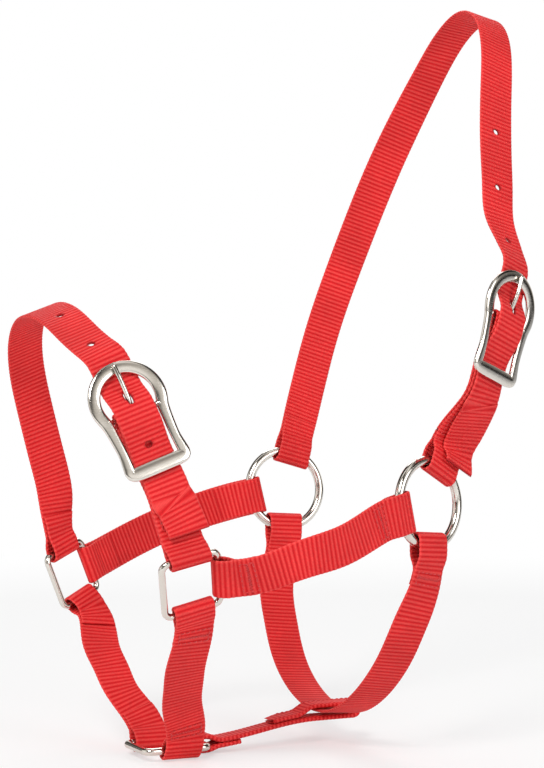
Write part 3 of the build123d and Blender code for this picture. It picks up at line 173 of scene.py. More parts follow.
NOSEBAND = StrapLine(408.792, """
-99.58 -105.07 122.31 -0.4504 0.8408 0.3003   -98.89 -106.46 127.05 -0.4488 0.8377 0.3112
-98.23 -107.75 131.82 -0.4562 0.8520 0.2569   -97.72 -108.70 136.68 -0.4369 0.8809 0.1818
-97.32 -109.37 141.61 -0.3681 0.9201 0.1338   -96.97 -109.89 146.55 -0.2699 0.9563 0.1125
-96.61 -110.38 151.50 -0.1686 0.9787 0.1174   -96.18 -110.98 156.43 -0.0920 0.9846 0.1490
-95.61 -111.82 161.31 -0.0612 0.9759 0.2092   -94.86 -112.97 166.10 -0.0512 0.9618 0.2689
-93.98 -114.36 170.81 -0.0427 0.9501 0.3090   -93.02 -115.89 175.45 -0.0380 0.9429 0.3308
-92.02 -117.49 180.07 -0.0377 0.9413 0.3355   -91.03 -119.08 184.69 -0.0406 0.9432 0.3298
-90.04 -120.65 189.31 -0.0439 0.9441 0.3267   -89.02 -122.20 193.94 -0.0473 0.9440 0.3266
-87.94 -123.74 198.56 -0.0506 0.9428 0.3295   -86.78 -125.30 203.15 -0.0531 0.9406 0.3354
-85.52 -126.88 207.71 -0.0542 0.9373 0.3443   -84.12 -128.48 212.21 -0.0536 0.9331 0.3556
-82.57 -130.12 216.66 -0.0527 0.9292 0.3658   -80.86 -131.77 221.04 -0.0520 0.9260 0.3739
-78.96 -133.42 225.35 -0.0512 0.9237 0.3797   -76.88 -135.05 229.57 -0.0499 0.9224 0.3831
-74.60 -136.65 233.71 -0.0479 0.9219 0.3844   -72.11 -138.20 237.74 -0.0454 0.9221 0.3842
-69.40 -139.70 241.64 -0.0431 0.9229 0.3827   -66.45 -141.12 245.40 -0.0415 0.9240 0.3800
-63.26 -142.45 249.00 -0.0401 0.9255 0.3766   -59.84 -143.68 252.41 -0.0370 0.9273 0.3725
-56.21 -144.83 255.62 -0.0326 0.9292 0.3681   -52.36 -145.88 258.61 -0.0275 0.9312 0.3636
-48.32 -146.84 261.37 -0.0223 0.9329 0.3596   -44.10 -147.71 263.87 -0.0173 0.9340 0.3567
-39.72 -148.49 266.11 -0.0126 0.9345 0.3558   -35.18 -149.18 268.05 -0.0078 0.9347 0.3555
-30.51 -149.78 269.69 -0.0030 0.9348 0.3553   -25.74 -150.29 271.03 0.0021 0.9348 0.3553
-20.88 -150.70 272.05 0.0076 0.9347 0.3554   -15.95 -151.02 272.75 0.0121 0.9343 0.3562
-10.99 -151.24 273.13 0.0145 0.9335 0.3583   -6.00 -151.34 273.20 0.0150 0.9324 0.3610
-1.02 -151.33 272.97 0.0137 0.9314 0.3636   3.93 -151.20 272.46 0.0113 0.9307 0.3657
8.85 -150.94 271.66 0.0112 0.9300 0.3674   13.69 -150.57 270.56 0.0135 0.9296 0.3682
18.45 -150.09 269.14 0.0180 0.9300 0.3672   23.07 -149.50 267.39 0.0239 0.9312 0.3639
27.55 -148.81 265.31 0.0250 0.9323 0.3608   31.89 -148.03 262.99 0.0200 0.9325 0.3605
36.13 -147.13 260.52 0.0096 0.9315 0.3637   40.29 -146.14 257.96 -0.0053 0.9288 0.3704
44.43 -145.04 255.41 -0.0243 0.9247 0.3800   48.58 -143.84 252.92 -0.0472 0.9189 0.3916
52.76 -142.54 250.54 -0.0655 0.9124 0.4039   56.87 -141.14 248.10 -0.0640 0.9066 0.4171
60.75 -139.62 245.35 -0.0394 0.9033 0.4272   64.11 -138.01 242.05 0.0088 0.9083 0.4183
66.31 -136.38 237.97 0.0598 0.9319 0.3577   67.91 -134.78 233.52 0.0598 0.9319 0.3577
69.50 -133.18 229.08 0.0598 0.9319 0.3577   71.10 -131.57 224.64 0.0598 0.9319 0.3577
72.69 -129.97 220.19 0.0598 0.9319 0.3577   74.29 -128.37 215.75 0.0598 0.9319 0.3577
75.89 -126.77 211.31 0.0598 0.9319 0.3577   77.48 -125.16 206.87 0.0598 0.9319 0.3577
79.08 -123.56 202.42 0.0598 0.9319 0.3577   80.67 -121.96 197.98 0.0598 0.9319 0.3577
82.27 -120.35 193.54 0.0598 0.9319 0.3577   83.86 -118.75 189.10 0.0598 0.9319 0.3577
85.46 -117.15 184.65 0.0598 0.9319 0.3577   87.06 -115.55 180.21 0.0598 0.9319 0.3577
88.65 -113.94 175.77 0.0598 0.9319 0.3577   89.91 -112.34 171.23 0.0637 0.9408 0.3330
90.44 -110.77 166.53 0.0613 0.9478 0.3128   90.57 -109.26 161.78 0.0588 0.9533 0.2963
90.53 -107.82 157.01 0.0578 0.9576 0.2822   90.54 -106.44 152.22 0.0573 0.9613 0.2696
90.82 -105.14 147.42 0.0559 0.9645 0.2580   91.64 -103.94 142.65 0.0534 0.9677 0.2463
93.25 -102.89 138.06 0.0534 0.9705 0.2351   95.68 -102.01 133.80 0.0562 0.9717 0.2295
98.32 -101.19 129.66 0.0555 0.9715 0.2306
""")
CROWN = StrapLine(707.770, """
-102.97 65.54 182.95 0.0906 0.9537 -0.2868   -103.35 66.98 187.70 0.0902 0.9551 -0.2821
-103.85 68.48 192.43 0.0933 0.9477 -0.3052   -104.76 70.15 197.03 0.1101 0.9356 -0.3355
-106.04 71.97 201.49 0.1369 0.9259 -0.3522   -107.57 73.89 205.83 0.1641 0.9192 -0.3579
-109.24 75.88 210.08 0.1864 0.9155 -0.3566   -110.96 77.88 214.31 0.2008 0.9143 -0.3517
-112.61 79.87 218.57 0.2045 0.9159 -0.3453   -114.12 81.82 222.91 0.2025 0.9188 -0.3387
-115.48 83.72 227.31 0.2014 0.9214 -0.3325   -116.68 85.58 231.77 0.2004 0.9236 -0.3268
-117.74 87.39 236.29 0.1993 0.9256 -0.3217   -118.66 89.17 240.86 0.1977 0.9274 -0.3175
-119.45 90.90 245.47 0.1950 0.9291 -0.3143   -120.08 92.59 250.11 0.1918 0.9305 -0.3121
-120.54 94.25 254.79 0.1887 0.9316 -0.3106   -120.82 95.87 259.49 0.1866 0.9323 -0.3098
-120.91 97.46 264.22 0.1851 0.9327 -0.3095   -120.81 99.01 268.95 0.1838 0.9330 -0.3094
-120.53 100.53 273.69 0.1826 0.9331 -0.3098   -120.07 102.01 278.43 0.1819 0.9330 -0.3104
-119.44 103.47 283.15 0.1819 0.9327 -0.3115   -118.66 104.89 287.86 0.1837 0.9321 -0.3122
-117.73 106.28 292.56 0.1871 0.9313 -0.3126   -116.67 107.63 297.24 0.1912 0.9304 -0.3126
-115.50 108.96 301.90 0.1953 0.9297 -0.3122   -114.24 110.25 306.54 0.1998 0.9289 -0.3117
-112.90 111.51 311.18 0.2052 0.9277 -0.3119   -111.48 112.75 315.79 0.2108 0.9262 -0.3126
-110.00 113.96 320.39 0.2162 0.9246 -0.3138   -108.47 115.16 324.98 0.2207 0.9230 -0.3151
-106.90 116.35 329.56 0.2238 0.9218 -0.3164   -105.29 117.53 334.13 0.2250 0.9211 -0.3176
-103.67 118.71 338.69 0.2253 0.9206 -0.3189   -102.01 119.89 343.24 0.2252 0.9200 -0.3207
-100.34 121.07 347.79 0.2249 0.9194 -0.3228   -98.64 122.25 352.32 0.2241 0.9186 -0.3254
-96.93 123.44 356.85 0.2225 0.9180 -0.3283   -95.19 124.65 361.36 0.2189 0.9179 -0.3309
-93.42 125.86 365.86 0.2138 0.9182 -0.3335   -91.62 127.08 370.34 0.2076 0.9187 -0.3360
-89.78 128.31 374.81 0.2008 0.9192 -0.3387   -87.91 129.55 379.26 0.1928 0.9201 -0.3410
-85.98 130.80 383.68 0.1832 0.9215 -0.3426   -84.01 132.06 388.08 0.1724 0.9232 -0.3434
-81.98 133.32 392.46 0.1607 0.9253 -0.3436   -79.88 134.58 396.80 0.1480 0.9277 -0.3428
-77.72 135.84 401.11 0.1330 0.9312 -0.3395   -75.48 137.08 405.39 0.1165 0.9355 -0.3336
-73.18 138.31 409.63 0.0995 0.9403 -0.3254   -70.80 139.51 413.85 0.0831 0.9453 -0.3153
-68.34 140.68 418.02 0.0660 0.9508 -0.3028   -65.81 141.81 422.16 0.0475 0.9566 -0.2877
-63.19 142.90 426.26 0.0297 0.9622 -0.2706   -60.48 143.94 430.32 0.0143 0.9674 -0.2527
-57.69 144.92 434.32 0.0024 0.9720 -0.2349   -54.79 145.85 438.28 -0.0095 0.9764 -0.2156
-51.80 146.71 442.16 -0.0200 0.9804 -0.1959   -48.69 147.51 445.98 -0.0265 0.9837 -0.1776
-45.47 148.24 449.71 -0.0271 0.9863 -0.1629   -42.12 148.90 453.34 -0.0226 0.9882 -0.1518
-38.61 149.49 456.83 -0.0167 0.9898 -0.1415   -34.90 150.00 460.12 -0.0090 0.9911 -0.1325
-30.98 150.41 463.17 0.0006 0.9921 -0.1256   -26.84 150.73 465.91 0.0119 0.9925 -0.1219
-22.47 150.94 468.31 0.0256 0.9919 -0.1245   -17.91 151.05 470.32 0.0399 0.9903 -0.1330
-13.20 151.05 471.92 0.0533 0.9879 -0.1460   -8.35 150.94 473.07 0.0642 0.9847 -0.1621
-3.41 150.70 473.70 0.0716 0.9811 -0.1796   1.56 150.34 473.76 0.0748 0.9775 -0.1973
6.48 149.85 473.20 0.0736 0.9739 -0.2146   11.28 149.23 472.04 0.0687 0.9702 -0.2322
15.91 148.49 470.35 0.0612 0.9668 -0.2482   20.33 147.66 468.19 0.0525 0.9638 -0.2613
24.49 146.74 465.61 0.0439 0.9615 -0.2711   28.38 145.73 462.66 0.0340 0.9593 -0.2803
31.98 144.66 459.39 0.0228 0.9571 -0.2889   35.31 143.52 455.86 0.0118 0.9551 -0.2961
38.37 142.32 452.12 0.0027 0.9536 -0.3012   41.18 141.07 448.19 -0.0045 0.9525 -0.3045
43.76 139.79 444.13 -0.0123 0.9517 -0.3068   46.13 138.48 439.95 -0.0199 0.9512 -0.3078
48.33 137.15 435.67 -0.0263 0.9512 -0.3073   50.39 135.82 431.33 -0.0304 0.9518 -0.3053
52.32 134.48 426.94 -0.0330 0.9528 -0.3017   54.17 133.15 422.50 -0.0349 0.9543 -0.2968
55.94 131.84 418.03 -0.0363 0.9561 -0.2907   57.67 130.56 413.54 -0.0377 0.9582 -0.2836
59.37 129.31 409.02 -0.0390 0.9604 -0.2758   61.07 128.10 404.50 -0.0396 0.9626 -0.2682
62.76 126.93 399.96 -0.0399 0.9645 -0.2610   64.44 125.78 395.41 -0.0401 0.9663 -0.2544
66.12 124.67 390.85 -0.0406 0.9678 -0.2484   67.80 123.58 386.28 -0.0426 0.9691 -0.2431
69.49 122.52 381.71 -0.0466 0.9701 -0.2381   71.19 121.50 377.14 -0.0519 0.9710 -0.2335
72.92 120.51 372.57 -0.0582 0.9717 -0.2290   74.67 119.55 368.01 -0.0650 0.9721 -0.2252
76.43 118.62 363.44 -0.0724 0.9717 -0.2249   78.18 117.69 358.87 -0.0798 0.9703 -0.2282
79.90 116.75 354.28 -0.0870 0.9681 -0.2349   81.55 115.76 349.68 -0.0937 0.9651 -0.2445
83.13 114.74 345.07 -0.1021 0.9630 -0.2495   84.75 113.73 340.46 -0.1141 0.9631 -0.2437
86.52 112.84 335.89 -0.1311 0.9647 -0.2284   88.57 112.13 331.40 -0.1555 0.9662 -0.2058
90.98 111.69 327.06 -0.1886 0.9649 -0.1828   93.69 111.49 322.89 -0.2240 0.9582 -0.1779
96.56 111.44 318.82 -0.2559 0.9484 -0.1874   99.45 111.43 314.76 -0.2826 0.9370 -0.2055
102.24 111.34 310.63 -0.3034 0.9253 -0.2276   104.77 111.08 306.34 -0.3173 0.9145 -0.2508
106.84 110.52 301.85 -0.3225 0.9060 -0.2740   108.18 109.51 297.16 -0.3178 0.8998 -0.2990
108.50 107.96 292.45 -0.3146 0.8952 -0.3157   108.81 106.40 287.73 -0.3146 0.8952 -0.3157
109.13 104.85 283.00 -0.3146 0.8952 -0.3157   109.44 103.29 278.28 -0.3146 0.8952 -0.3157
109.76 101.74 273.55 -0.3146 0.8952 -0.3157   110.07 100.18 268.83 -0.3146 0.8952 -0.3157
110.38 98.62 264.10 -0.3146 0.8952 -0.3157   110.70 97.07 259.38 -0.3146 0.8952 -0.3157
111.01 95.51 254.65 -0.3146 0.8952 -0.3157   111.33 93.96 249.93 -0.3146 0.8952 -0.3157
111.64 92.40 245.20 -0.3146 0.8952 -0.3157   111.96 90.85 240.48 -0.3146 0.8952 -0.3157
112.27 89.29 235.76 -0.3146 0.8952 -0.3157   112.59 87.73 231.03 -0.3146 0.8952 -0.3157
112.78 86.20 226.32 -0.3050 0.9209 -0.2426   111.35 84.85 221.76 -0.2366 0.9588 -0.1573
108.80 83.73 217.63 -0.1598 0.9777 -0.1360   105.62 82.77 213.92 -0.1057 0.9834 -0.1473
102.13 81.91 210.47 -0.0735 0.9829 -0.1686   98.51 81.06 207.15 -0.0584 0.9800 -0.1904
94.91 80.17 203.83 -0.0588 0.9760 -0.2097   91.47 79.16 200.36 -0.0775 0.9709 -0.2265
88.42 77.94 196.62 -0.1221 0.9611 -0.2476   86.19 76.40 192.45 -0.1952 0.9348 -0.2969
85.41 74.50 187.94 -0.2502 0.8809 -0.4017   86.13 72.41 183.48 -0.2452 0.8484 -0.4691
87.22 70.31 179.10 -0.2485 0.8546 -0.4560
""")
THROAT = StrapLine(333.045, """
-97.84 55.95 132.03 -0.0682 -0.9956 0.0644   -97.20 55.61 127.12 -0.0676 -0.9959 0.0601
-96.77 55.24 122.18 -0.0686 -0.9943 0.0812   -97.02 54.78 117.24 -0.0652 -0.9917 0.1104
-97.80 54.23 112.36 -0.0642 -0.9894 0.1306   -98.79 53.62 107.53 -0.0685 -0.9872 0.1439
-99.73 52.97 102.69 -0.0780 -0.9856 0.1502   -100.31 52.28 97.81 -0.0903 -0.9851 0.1464
-100.18 51.57 92.90 -0.0992 -0.9868 0.1283   -99.07 50.90 88.11 -0.0965 -0.9896 0.1071
-97.17 50.26 83.56 -0.0875 -0.9916 0.0950   -94.76 49.66 79.26 -0.0785 -0.9928 0.0902
-92.04 49.08 75.14 -0.0716 -0.9934 0.0901   -89.17 48.51 71.12 -0.0676 -0.9934 0.0927
-86.24 47.94 67.14 -0.0658 -0.9932 0.0966   -83.30 47.35 63.18 -0.0633 -0.9931 0.0992
-80.28 46.77 59.27 -0.0599 -0.9931 0.1003   -77.15 46.21 55.46 -0.0558 -0.9934 0.0998
-73.85 45.66 51.78 -0.0508 -0.9939 0.0977   -70.36 45.16 48.28 -0.0449 -0.9945 0.0945
-66.67 44.69 44.98 -0.0393 -0.9951 0.0910   -62.80 44.27 41.89 -0.0340 -0.9956 0.0874
-58.78 43.90 38.99 -0.0288 -0.9961 0.0836   -54.62 43.57 36.28 -0.0239 -0.9965 0.0799
-50.35 43.27 33.77 -0.0201 -0.9969 0.0765   -45.95 43.02 31.46 -0.0171 -0.9972 0.0735
-41.46 42.79 29.35 -0.0150 -0.9974 0.0710   -36.87 42.59 27.44 -0.0137 -0.9975 0.0694
-32.20 42.42 25.75 -0.0130 -0.9975 0.0688   -27.46 42.25 24.26 -0.0128 -0.9976 0.0684
-22.65 42.10 23.01 -0.0130 -0.9976 0.0682   -17.79 41.97 22.00 -0.0137 -0.9976 0.0682
-12.88 41.85 21.25 -0.0149 -0.9976 0.0683   -7.93 41.74 20.76 -0.0165 -0.9975 0.0685
-2.97 41.64 20.57 -0.0177 -0.9974 0.0697   2.00 41.56 20.66 -0.0179 -0.9972 0.0721
6.95 41.50 21.05 -0.0175 -0.9970 0.0754   11.88 41.47 21.74 -0.0165 -0.9967 0.0792
16.74 41.47 22.75 -0.0149 -0.9964 0.0832   21.54 41.52 24.06 -0.0131 -0.9961 0.0875
26.23 41.61 25.68 -0.0117 -0.9956 0.0926   30.83 41.74 27.57 -0.0106 -0.9951 0.0981
35.31 41.91 29.71 -0.0096 -0.9946 0.1036   39.67 42.12 32.08 -0.0087 -0.9940 0.1090
43.91 42.38 34.67 -0.0074 -0.9934 0.1142   48.02 42.68 37.45 -0.0058 -0.9928 0.1199
51.98 43.03 40.43 -0.0036 -0.9921 0.1257   55.80 43.43 43.58 -0.0007 -0.9913 0.1317
59.48 43.88 46.90 0.0009 -0.9906 0.1365   63.00 44.36 50.37 -0.0000 -0.9904 0.1384
66.38 44.86 53.98 -0.0031 -0.9905 0.1372   69.61 45.36 57.73 -0.0077 -0.9912 0.1324
72.71 45.82 61.59 -0.0134 -0.9922 0.1238   75.66 46.25 65.56 -0.0177 -0.9932 0.1147
78.47 46.67 69.64 -0.0152 -0.9934 0.1138   81.12 47.13 73.82 -0.0063 -0.9925 0.1225
83.58 47.70 78.10 0.0078 -0.9899 0.1413   85.85 48.42 82.47 0.0259 -0.9850 0.1706
87.89 49.35 86.90 0.0472 -0.9770 0.2077   89.69 50.48 91.39 0.0800 -0.9702 0.2287
91.24 51.73 95.95 0.1233 -0.9647 0.2327   92.52 53.03 100.57 0.1722 -0.9593 0.2240
93.52 54.30 105.27 0.2205 -0.9534 0.2060   94.22 55.45 110.05 0.2616 -0.9481 0.1807
94.59 56.40 114.92 0.2891 -0.9458 0.1477   94.60 57.07 119.84 0.2984 -0.9487 0.1044
94.29 57.42 124.79 0.2997 -0.9512 0.0737   93.88 57.67 129.74 0.2992 -0.9508 0.0800
""")
NEAR_CHEEK = StrapLine(126.877, """
92.53 -80.21 118.16 0.3881 -0.2338 0.8915   95.59 -76.18 117.83 0.3936 -0.2265 0.8909
98.58 -72.08 117.66 0.3655 -0.2670 0.8917   101.31 -67.82 118.02 0.3325 -0.3269 0.8846
103.72 -63.44 118.89 0.3120 -0.3707 0.8748   105.80 -58.99 120.13 0.2989 -0.3971 0.8678
107.58 -54.48 121.62 0.2890 -0.4071 0.8664   109.09 -49.92 123.26 0.2801 -0.4025 0.8715
110.33 -45.30 124.95 0.2714 -0.3839 0.8826   111.33 -40.60 126.59 0.2627 -0.3506 0.8989
112.11 -35.82 128.09 0.2542 -0.3021 0.9188   112.67 -30.95 129.41 0.2401 -0.2602 0.9352
113.00 -26.03 130.62 0.2197 -0.2365 0.9465   113.10 -21.10 131.81 0.1959 -0.2327 0.9526
112.95 -16.19 133.07 0.1728 -0.2498 0.9528   112.57 -11.33 134.50 0.1548 -0.2875 0.9452
111.94 -6.58 136.16 0.1415 -0.3282 0.9340   111.10 -1.93 138.00 0.1285 -0.3555 0.9258
110.07 2.65 139.94 0.1149 -0.3698 0.9220   108.90 7.18 141.90 0.1002 -0.3713 0.9231
107.59 11.70 143.82 0.0839 -0.3599 0.9292   106.18 16.23 145.62 0.0657 -0.3348 0.9400
104.70 20.80 147.24 0.0457 -0.2948 0.9545   103.16 25.44 148.59 0.0245 -0.2387 0.9708
101.60 30.16 149.64 0.0107 -0.1969 0.9804   100.04 34.89 150.61 0.0133 -0.2047 0.9787
""")
OFF_CHEEK = StrapLine(133.133, """
-106.90 -84.35 111.24 0.0300 0.3504 -0.9361   -108.76 -80.05 112.79 0.0305 0.3494 -0.9365
-110.59 -75.74 114.35 0.0284 0.3543 -0.9347   -112.35 -71.43 115.95 0.0237 0.3611 -0.9322
-113.99 -67.08 117.61 0.0166 0.3656 -0.9306   -115.51 -62.71 119.32 0.0081 0.3684 -0.9296
-116.88 -58.31 121.06 -0.0007 0.3701 -0.9290   -118.07 -53.87 122.84 -0.0085 0.3712 -0.9285
-119.07 -49.39 124.64 -0.0140 0.3719 -0.9282   -119.85 -44.88 126.47 -0.0157 0.3718 -0.9282
-120.43 -40.33 128.28 -0.0163 0.3662 -0.9304   -120.94 -35.76 130.06 -0.0167 0.3542 -0.9350
-121.50 -31.16 131.76 -0.0160 0.3365 -0.9416   -122.19 -26.55 133.37 -0.0139 0.3179 -0.9480
-122.91 -21.92 134.90 -0.0134 0.3084 -0.9512   -123.48 -17.27 136.41 -0.0146 0.3079 -0.9513
-123.65 -12.59 137.95 -0.0153 0.3176 -0.9481   -123.15 -7.96 139.55 -0.0083 0.3390 -0.9408
-121.65 -3.57 141.21 0.0183 0.3646 -0.9310   -119.14 0.33 142.85 0.0580 0.3644 -0.9294
-116.04 3.83 144.43 0.0897 0.3418 -0.9355   -112.71 7.13 145.94 0.1108 0.3110 -0.9439
-109.35 10.44 147.39 0.1240 0.2788 -0.9523   -106.21 13.97 148.78 0.1307 0.2482 -0.9599
-103.60 17.94 150.10 0.1306 0.2205 -0.9666   -102.03 22.44 151.27 0.1230 0.1941 -0.9732
-101.68 27.26 152.22 0.1207 0.1780 -0.9766   -101.67 32.11 153.11 0.1207 0.1815 -0.9760
""")
NEAR_CHIN = StrapLine(120.718, """
84.81 -93.05 98.63 0.0555 0.9715 0.2306   82.55 -91.84 94.31 0.0603 0.9690 0.2397
80.24 -90.74 89.98 0.0348 0.9806 0.1931   77.77 -90.00 85.66 0.0027 0.9918 0.1276
75.13 -89.58 81.40 -0.0102 0.9969 0.0784   72.36 -89.35 77.21 -0.0063 0.9989 0.0462
69.45 -89.19 73.11 0.0114 0.9994 0.0319   66.42 -88.98 69.10 0.0405 0.9985 0.0373
63.27 -88.60 65.20 0.0788 0.9948 0.0653   60.01 -87.93 61.43 0.1233 0.9857 0.1152
56.67 -86.95 57.80 0.1526 0.9765 0.1523   53.30 -85.81 54.24 0.1601 0.9729 0.1672
49.92 -84.67 50.70 0.1468 0.9762 0.1595   46.55 -83.63 47.11 0.1360 0.9790 0.1516
43.22 -82.57 43.49 0.1482 0.9747 0.1672   39.96 -81.33 39.87 0.1825 0.9612 0.2066
36.80 -79.76 36.28 0.2264 0.9392 0.2581   33.75 -77.93 32.73 0.2491 0.9247 0.2878
30.77 -75.99 29.18 0.2504 0.9220 0.2952   27.83 -74.09 25.57 0.2312 0.9317 0.2801
24.89 -72.39 21.85 0.1907 0.9521 0.2392   21.93 -71.07 18.01 0.1282 0.9775 0.1673
18.96 -70.33 14.03 0.0452 0.9971 0.0615   16.00 -70.24 9.96 -0.0107 0.9998 -0.0148
13.05 -70.33 5.89 0.0000 1.0000 0.0000
""")
OFF_CHIN = StrapLine(117.712, """
-98.54 -92.88 89.73 0.4504 -0.8408 -0.3003   -96.03 -90.18 86.50 0.4693 -0.8212 -0.3245
-93.38 -87.74 83.18 0.3760 -0.9026 -0.2095   -90.25 -86.41 79.67 0.1877 -0.9820 -0.0188
-86.83 -86.21 76.17 0.0304 -0.9951 0.0941   -83.32 -86.71 72.77 -0.0712 -0.9879 0.1378
-79.80 -87.54 69.47 -0.1198 -0.9829 0.1397   -76.25 -88.41 66.19 -0.1200 -0.9863 0.1133
-72.69 -89.06 62.89 -0.0700 -0.9958 0.0584   -69.15 -89.20 59.51 0.0285 -0.9992 -0.0262
-65.66 -88.76 56.08 0.0996 -0.9915 -0.0838   -62.25 -88.04 52.64 0.1239 -0.9878 -0.0948
-58.85 -87.36 49.18 0.1019 -0.9931 -0.0583   -55.43 -86.92 45.68 0.0844 -0.9962 -0.0228
-52.04 -86.52 42.16 0.1095 -0.9935 -0.0297   -48.70 -85.87 38.63 0.1735 -0.9813 -0.0833
-45.49 -84.69 35.12 0.2534 -0.9525 -0.1687   -42.42 -83.04 31.67 0.2944 -0.9274 -0.2307
-39.47 -81.15 28.24 0.2997 -0.9161 -0.2662   -36.58 -79.21 24.78 0.2752 -0.9215 -0.2741
-33.71 -77.42 21.23 0.2241 -0.9422 -0.2489   -30.80 -76.01 17.54 0.1478 -0.9723 -0.1812
-27.86 -75.21 13.71 0.0490 -0.9967 -0.0643   -24.90 -75.12 9.80 -0.0136 -0.9997 0.0180
-21.95 -75.23 5.89 -0.0000 -1.0000 0.0000
""")

# Buckle bars, distance along their strap line
NOSEBAND_BAR_AT = 320.036
CROWN_BAR_AT = 606.222

# Ring centres, face normals and the direction of one pair of sides
OFF_CHEEK_RING_CENTRE = (-100.6418, 57.8260, 158.0165)
OFF_CHEEK_RING_NORMAL = (-0.9919, 0.0607, -0.1113)
NEAR_CHEEK_RING_CENTRE = (91.9821, 59.2682, 155.8185)
NEAR_CHEEK_RING_NORMAL = (0.9514, 0.3037, 0.0506)
OFF_NOSE_RING_CENTRE = (-99.0611, -98.9768, 106.0200)
OFF_NOSE_RING_NORMAL = (-0.8923, -0.4126, -0.1831)
OFF_NOSE_RING_UP = (-0.0300, -0.3504, 0.9361)
NEAR_NOSE_RING_CENTRE = (91.5662, -97.1173, 114.1450)
NEAR_NOSE_RING_NORMAL = (0.9200, 0.0400, -0.3900)
NEAR_NOSE_RING_UP = (0.3881, -0.2338, 0.8915)
CHIN_RING_CENTRE = (-4.4500, -71.8304, 5.8856)
CHIN_RING_NORMAL = (0.0, 0.0, -1.0)
CHIN_RING_UP = (1.0, 0.0, 0.0)
THROAT_LOW = (-4.4500, 41.6684, 20.6253)    # lowest point of the throat strap


# ------------------------------------------------------------------ webbing tracks
# A track is a list of (distance along the line, height above it, shift across).
def ease(x, start, end, start_value, end_value):
    """Smooth passage between two values, constant outside start..end."""
    k = max(0.0, min(1.0, (x - start) / (end - start)))
    return start_value + (end_value - start_value) * (0.5 - 0.5 * math.cos(math.pi * k))


def spread(start, end, step=TRACK_STEP):
    """Distances strictly between start and end, about one step apart."""
    count = max(1, int(round((end - start) / step)))
    return [start + (end - start) * i / count for i in range(1, count)]


def level(distances, height):
    return [(s, height, 0.0) for s in distances]


def half_turn(along, height, radius, side=-1):
    """Half circle from below to above, bulging towards side."""
    angles = [math.radians(-90 + 22.5 * k) for k in range(9)]
    return [(along + side * radius * math.cos(a), height + radius * math.sin(a)) for a in angles]


# A fold round a bar: bar radius, how far the fold hangs past the bar centre, length over
# which the layers close up, and the seam's start and end from the bar.
Loop = namedtuple("Loop", "bar_radius sag closing seam")
SQUARE_SEAM = (13.5, 21.5)
SQUARE_SIDE = Loop(NOSE_RING_WIRE / 2, 0.4, 9.0, SQUARE_SEAM)
SQUARE_TOP = Loop(NOSE_RING_WIRE / 2, 1.0, 9.0, SQUARE_SEAM)
SQUARE_BILLET = Loop(NOSE_RING_WIRE / 2, 1.0, 8.0, None)
SQUARE_LOW = Loop(NOSE_RING_WIRE / 2, 1.6, 9.0, SQUARE_SEAM)
CHIN = Loop(CHIN_WIRE / 2, 1.6, 9.0, SQUARE_SEAM)
# A flat fold on a round wire hangs by the rise of the ring over half the webbing width.
ROUND_SAG = ROUND_R - math.sqrt(ROUND_R ** 2 - (WEB_W / 2) ** 2) + 1.1
ROUND = Loop(ROUND_WIRE / 2, ROUND_SAG, 11.0, (15.5, 22.5))


def loop_track(loop):
    """Fold round a bar at distance 0: inner layer in, round the bar, outer layer out."""
    height = loop.bar_radius + LOOP_GAP + WEB_T / 2
    parting = loop.bar_radius + 1.0
    closed = parting + loop.closing
    outer = []
    for k in (0.0, 0.25, 0.5, 0.75, 1.0):
        s = parting + loop.closing * k
        outer.append((s, ease(s, parting, closed, height, HALF_LAYER), 0.0))
    inner = [(s, -h, 0.0) for s, h, _ in reversed(outer)]
    turn = [(s, h, 0.0) for s, h in half_turn(-loop.sag, 0.0, height)]
    return inner + turn + outer


def end_loop(line, loop):
    """The same fold at the far end of a line: outer layer in, inner layer out."""
    return [(line.length - s, h, u) for s, h, u in reversed(loop_track(loop))]


def start_fold(loop):
    """Folded-back layer and loop at the start of a line."""
    track = loop_track(loop)
    back = list(reversed(spread(track[0][0], FOLD_LEN)))
    return level([FOLD_LEN] + back, -HALF_LAYER) + track


def two_ended_track(line, first, last):
    """Strap with a folded-back end round a bar at both ends."""
    track = start_fold(first)
    turn = end_loop(line, last)
    fold_end = line.length - FOLD_LEN
    track += level(spread(track[-1][0], turn[0][0]), HALF_LAYER) + turn
    back = list(reversed(spread(fold_end, turn[-1][0])))
    return track + level(back + [fold_end], -HALF_LAYER)


# Heights of the webbing near a buckle bar. Distances are from the bar, positive on the
# keeper side. Each climb is (start, end, height reached).
KEEPER_CLIMB = (4.0, 27.0)      # down from the bar towards the keeper bar
BEYOND_KEEPER = (39.0, 52.0)    # settling past the keeper bar
BUCKLE_REACH = 52.0             # half length shaped by the buckle
UNDER_FRAME = 2.7               # adjusting strap, height under the arc and keeper bar
OVER_CREST = 8.95               # adjusting strap, height over the bar
TAIL_HEIGHT = HALF_LAYER + 2.8  # adjusting strap, free tail on the billet
BILLET_TURN_R = BAR_R + LOOP_GAP + WEB_T / 2


def climb(x, height, climbs):
    for start, end, target in climbs:
        height = ease(x, start, end, height, target)
    return height


def over_bar(x):
    """Adjusting strap: under the arc, over the bar, under the keeper bar."""
    return climb(x, HALF_LAYER, ((-50, -34, UNDER_FRAME), (-18.2, -3.5, OVER_CREST),
                                 (*KEEPER_CLIMB, UNDER_FRAME), (*BEYOND_KEEPER, TAIL_HEIGHT)))


def outer_billet(x):
    return climb(x, BAR_RISE + BILLET_TURN_R,
                 ((*KEEPER_CLIMB, 0.35), (*BEYOND_KEEPER, HALF_LAYER)))


def inner_billet(x):
    return climb(x, BAR_RISE - BILLET_TURN_R,
                 ((*KEEPER_CLIMB, -1.8), (*BEYOND_KEEPER, -HALF_LAYER)))


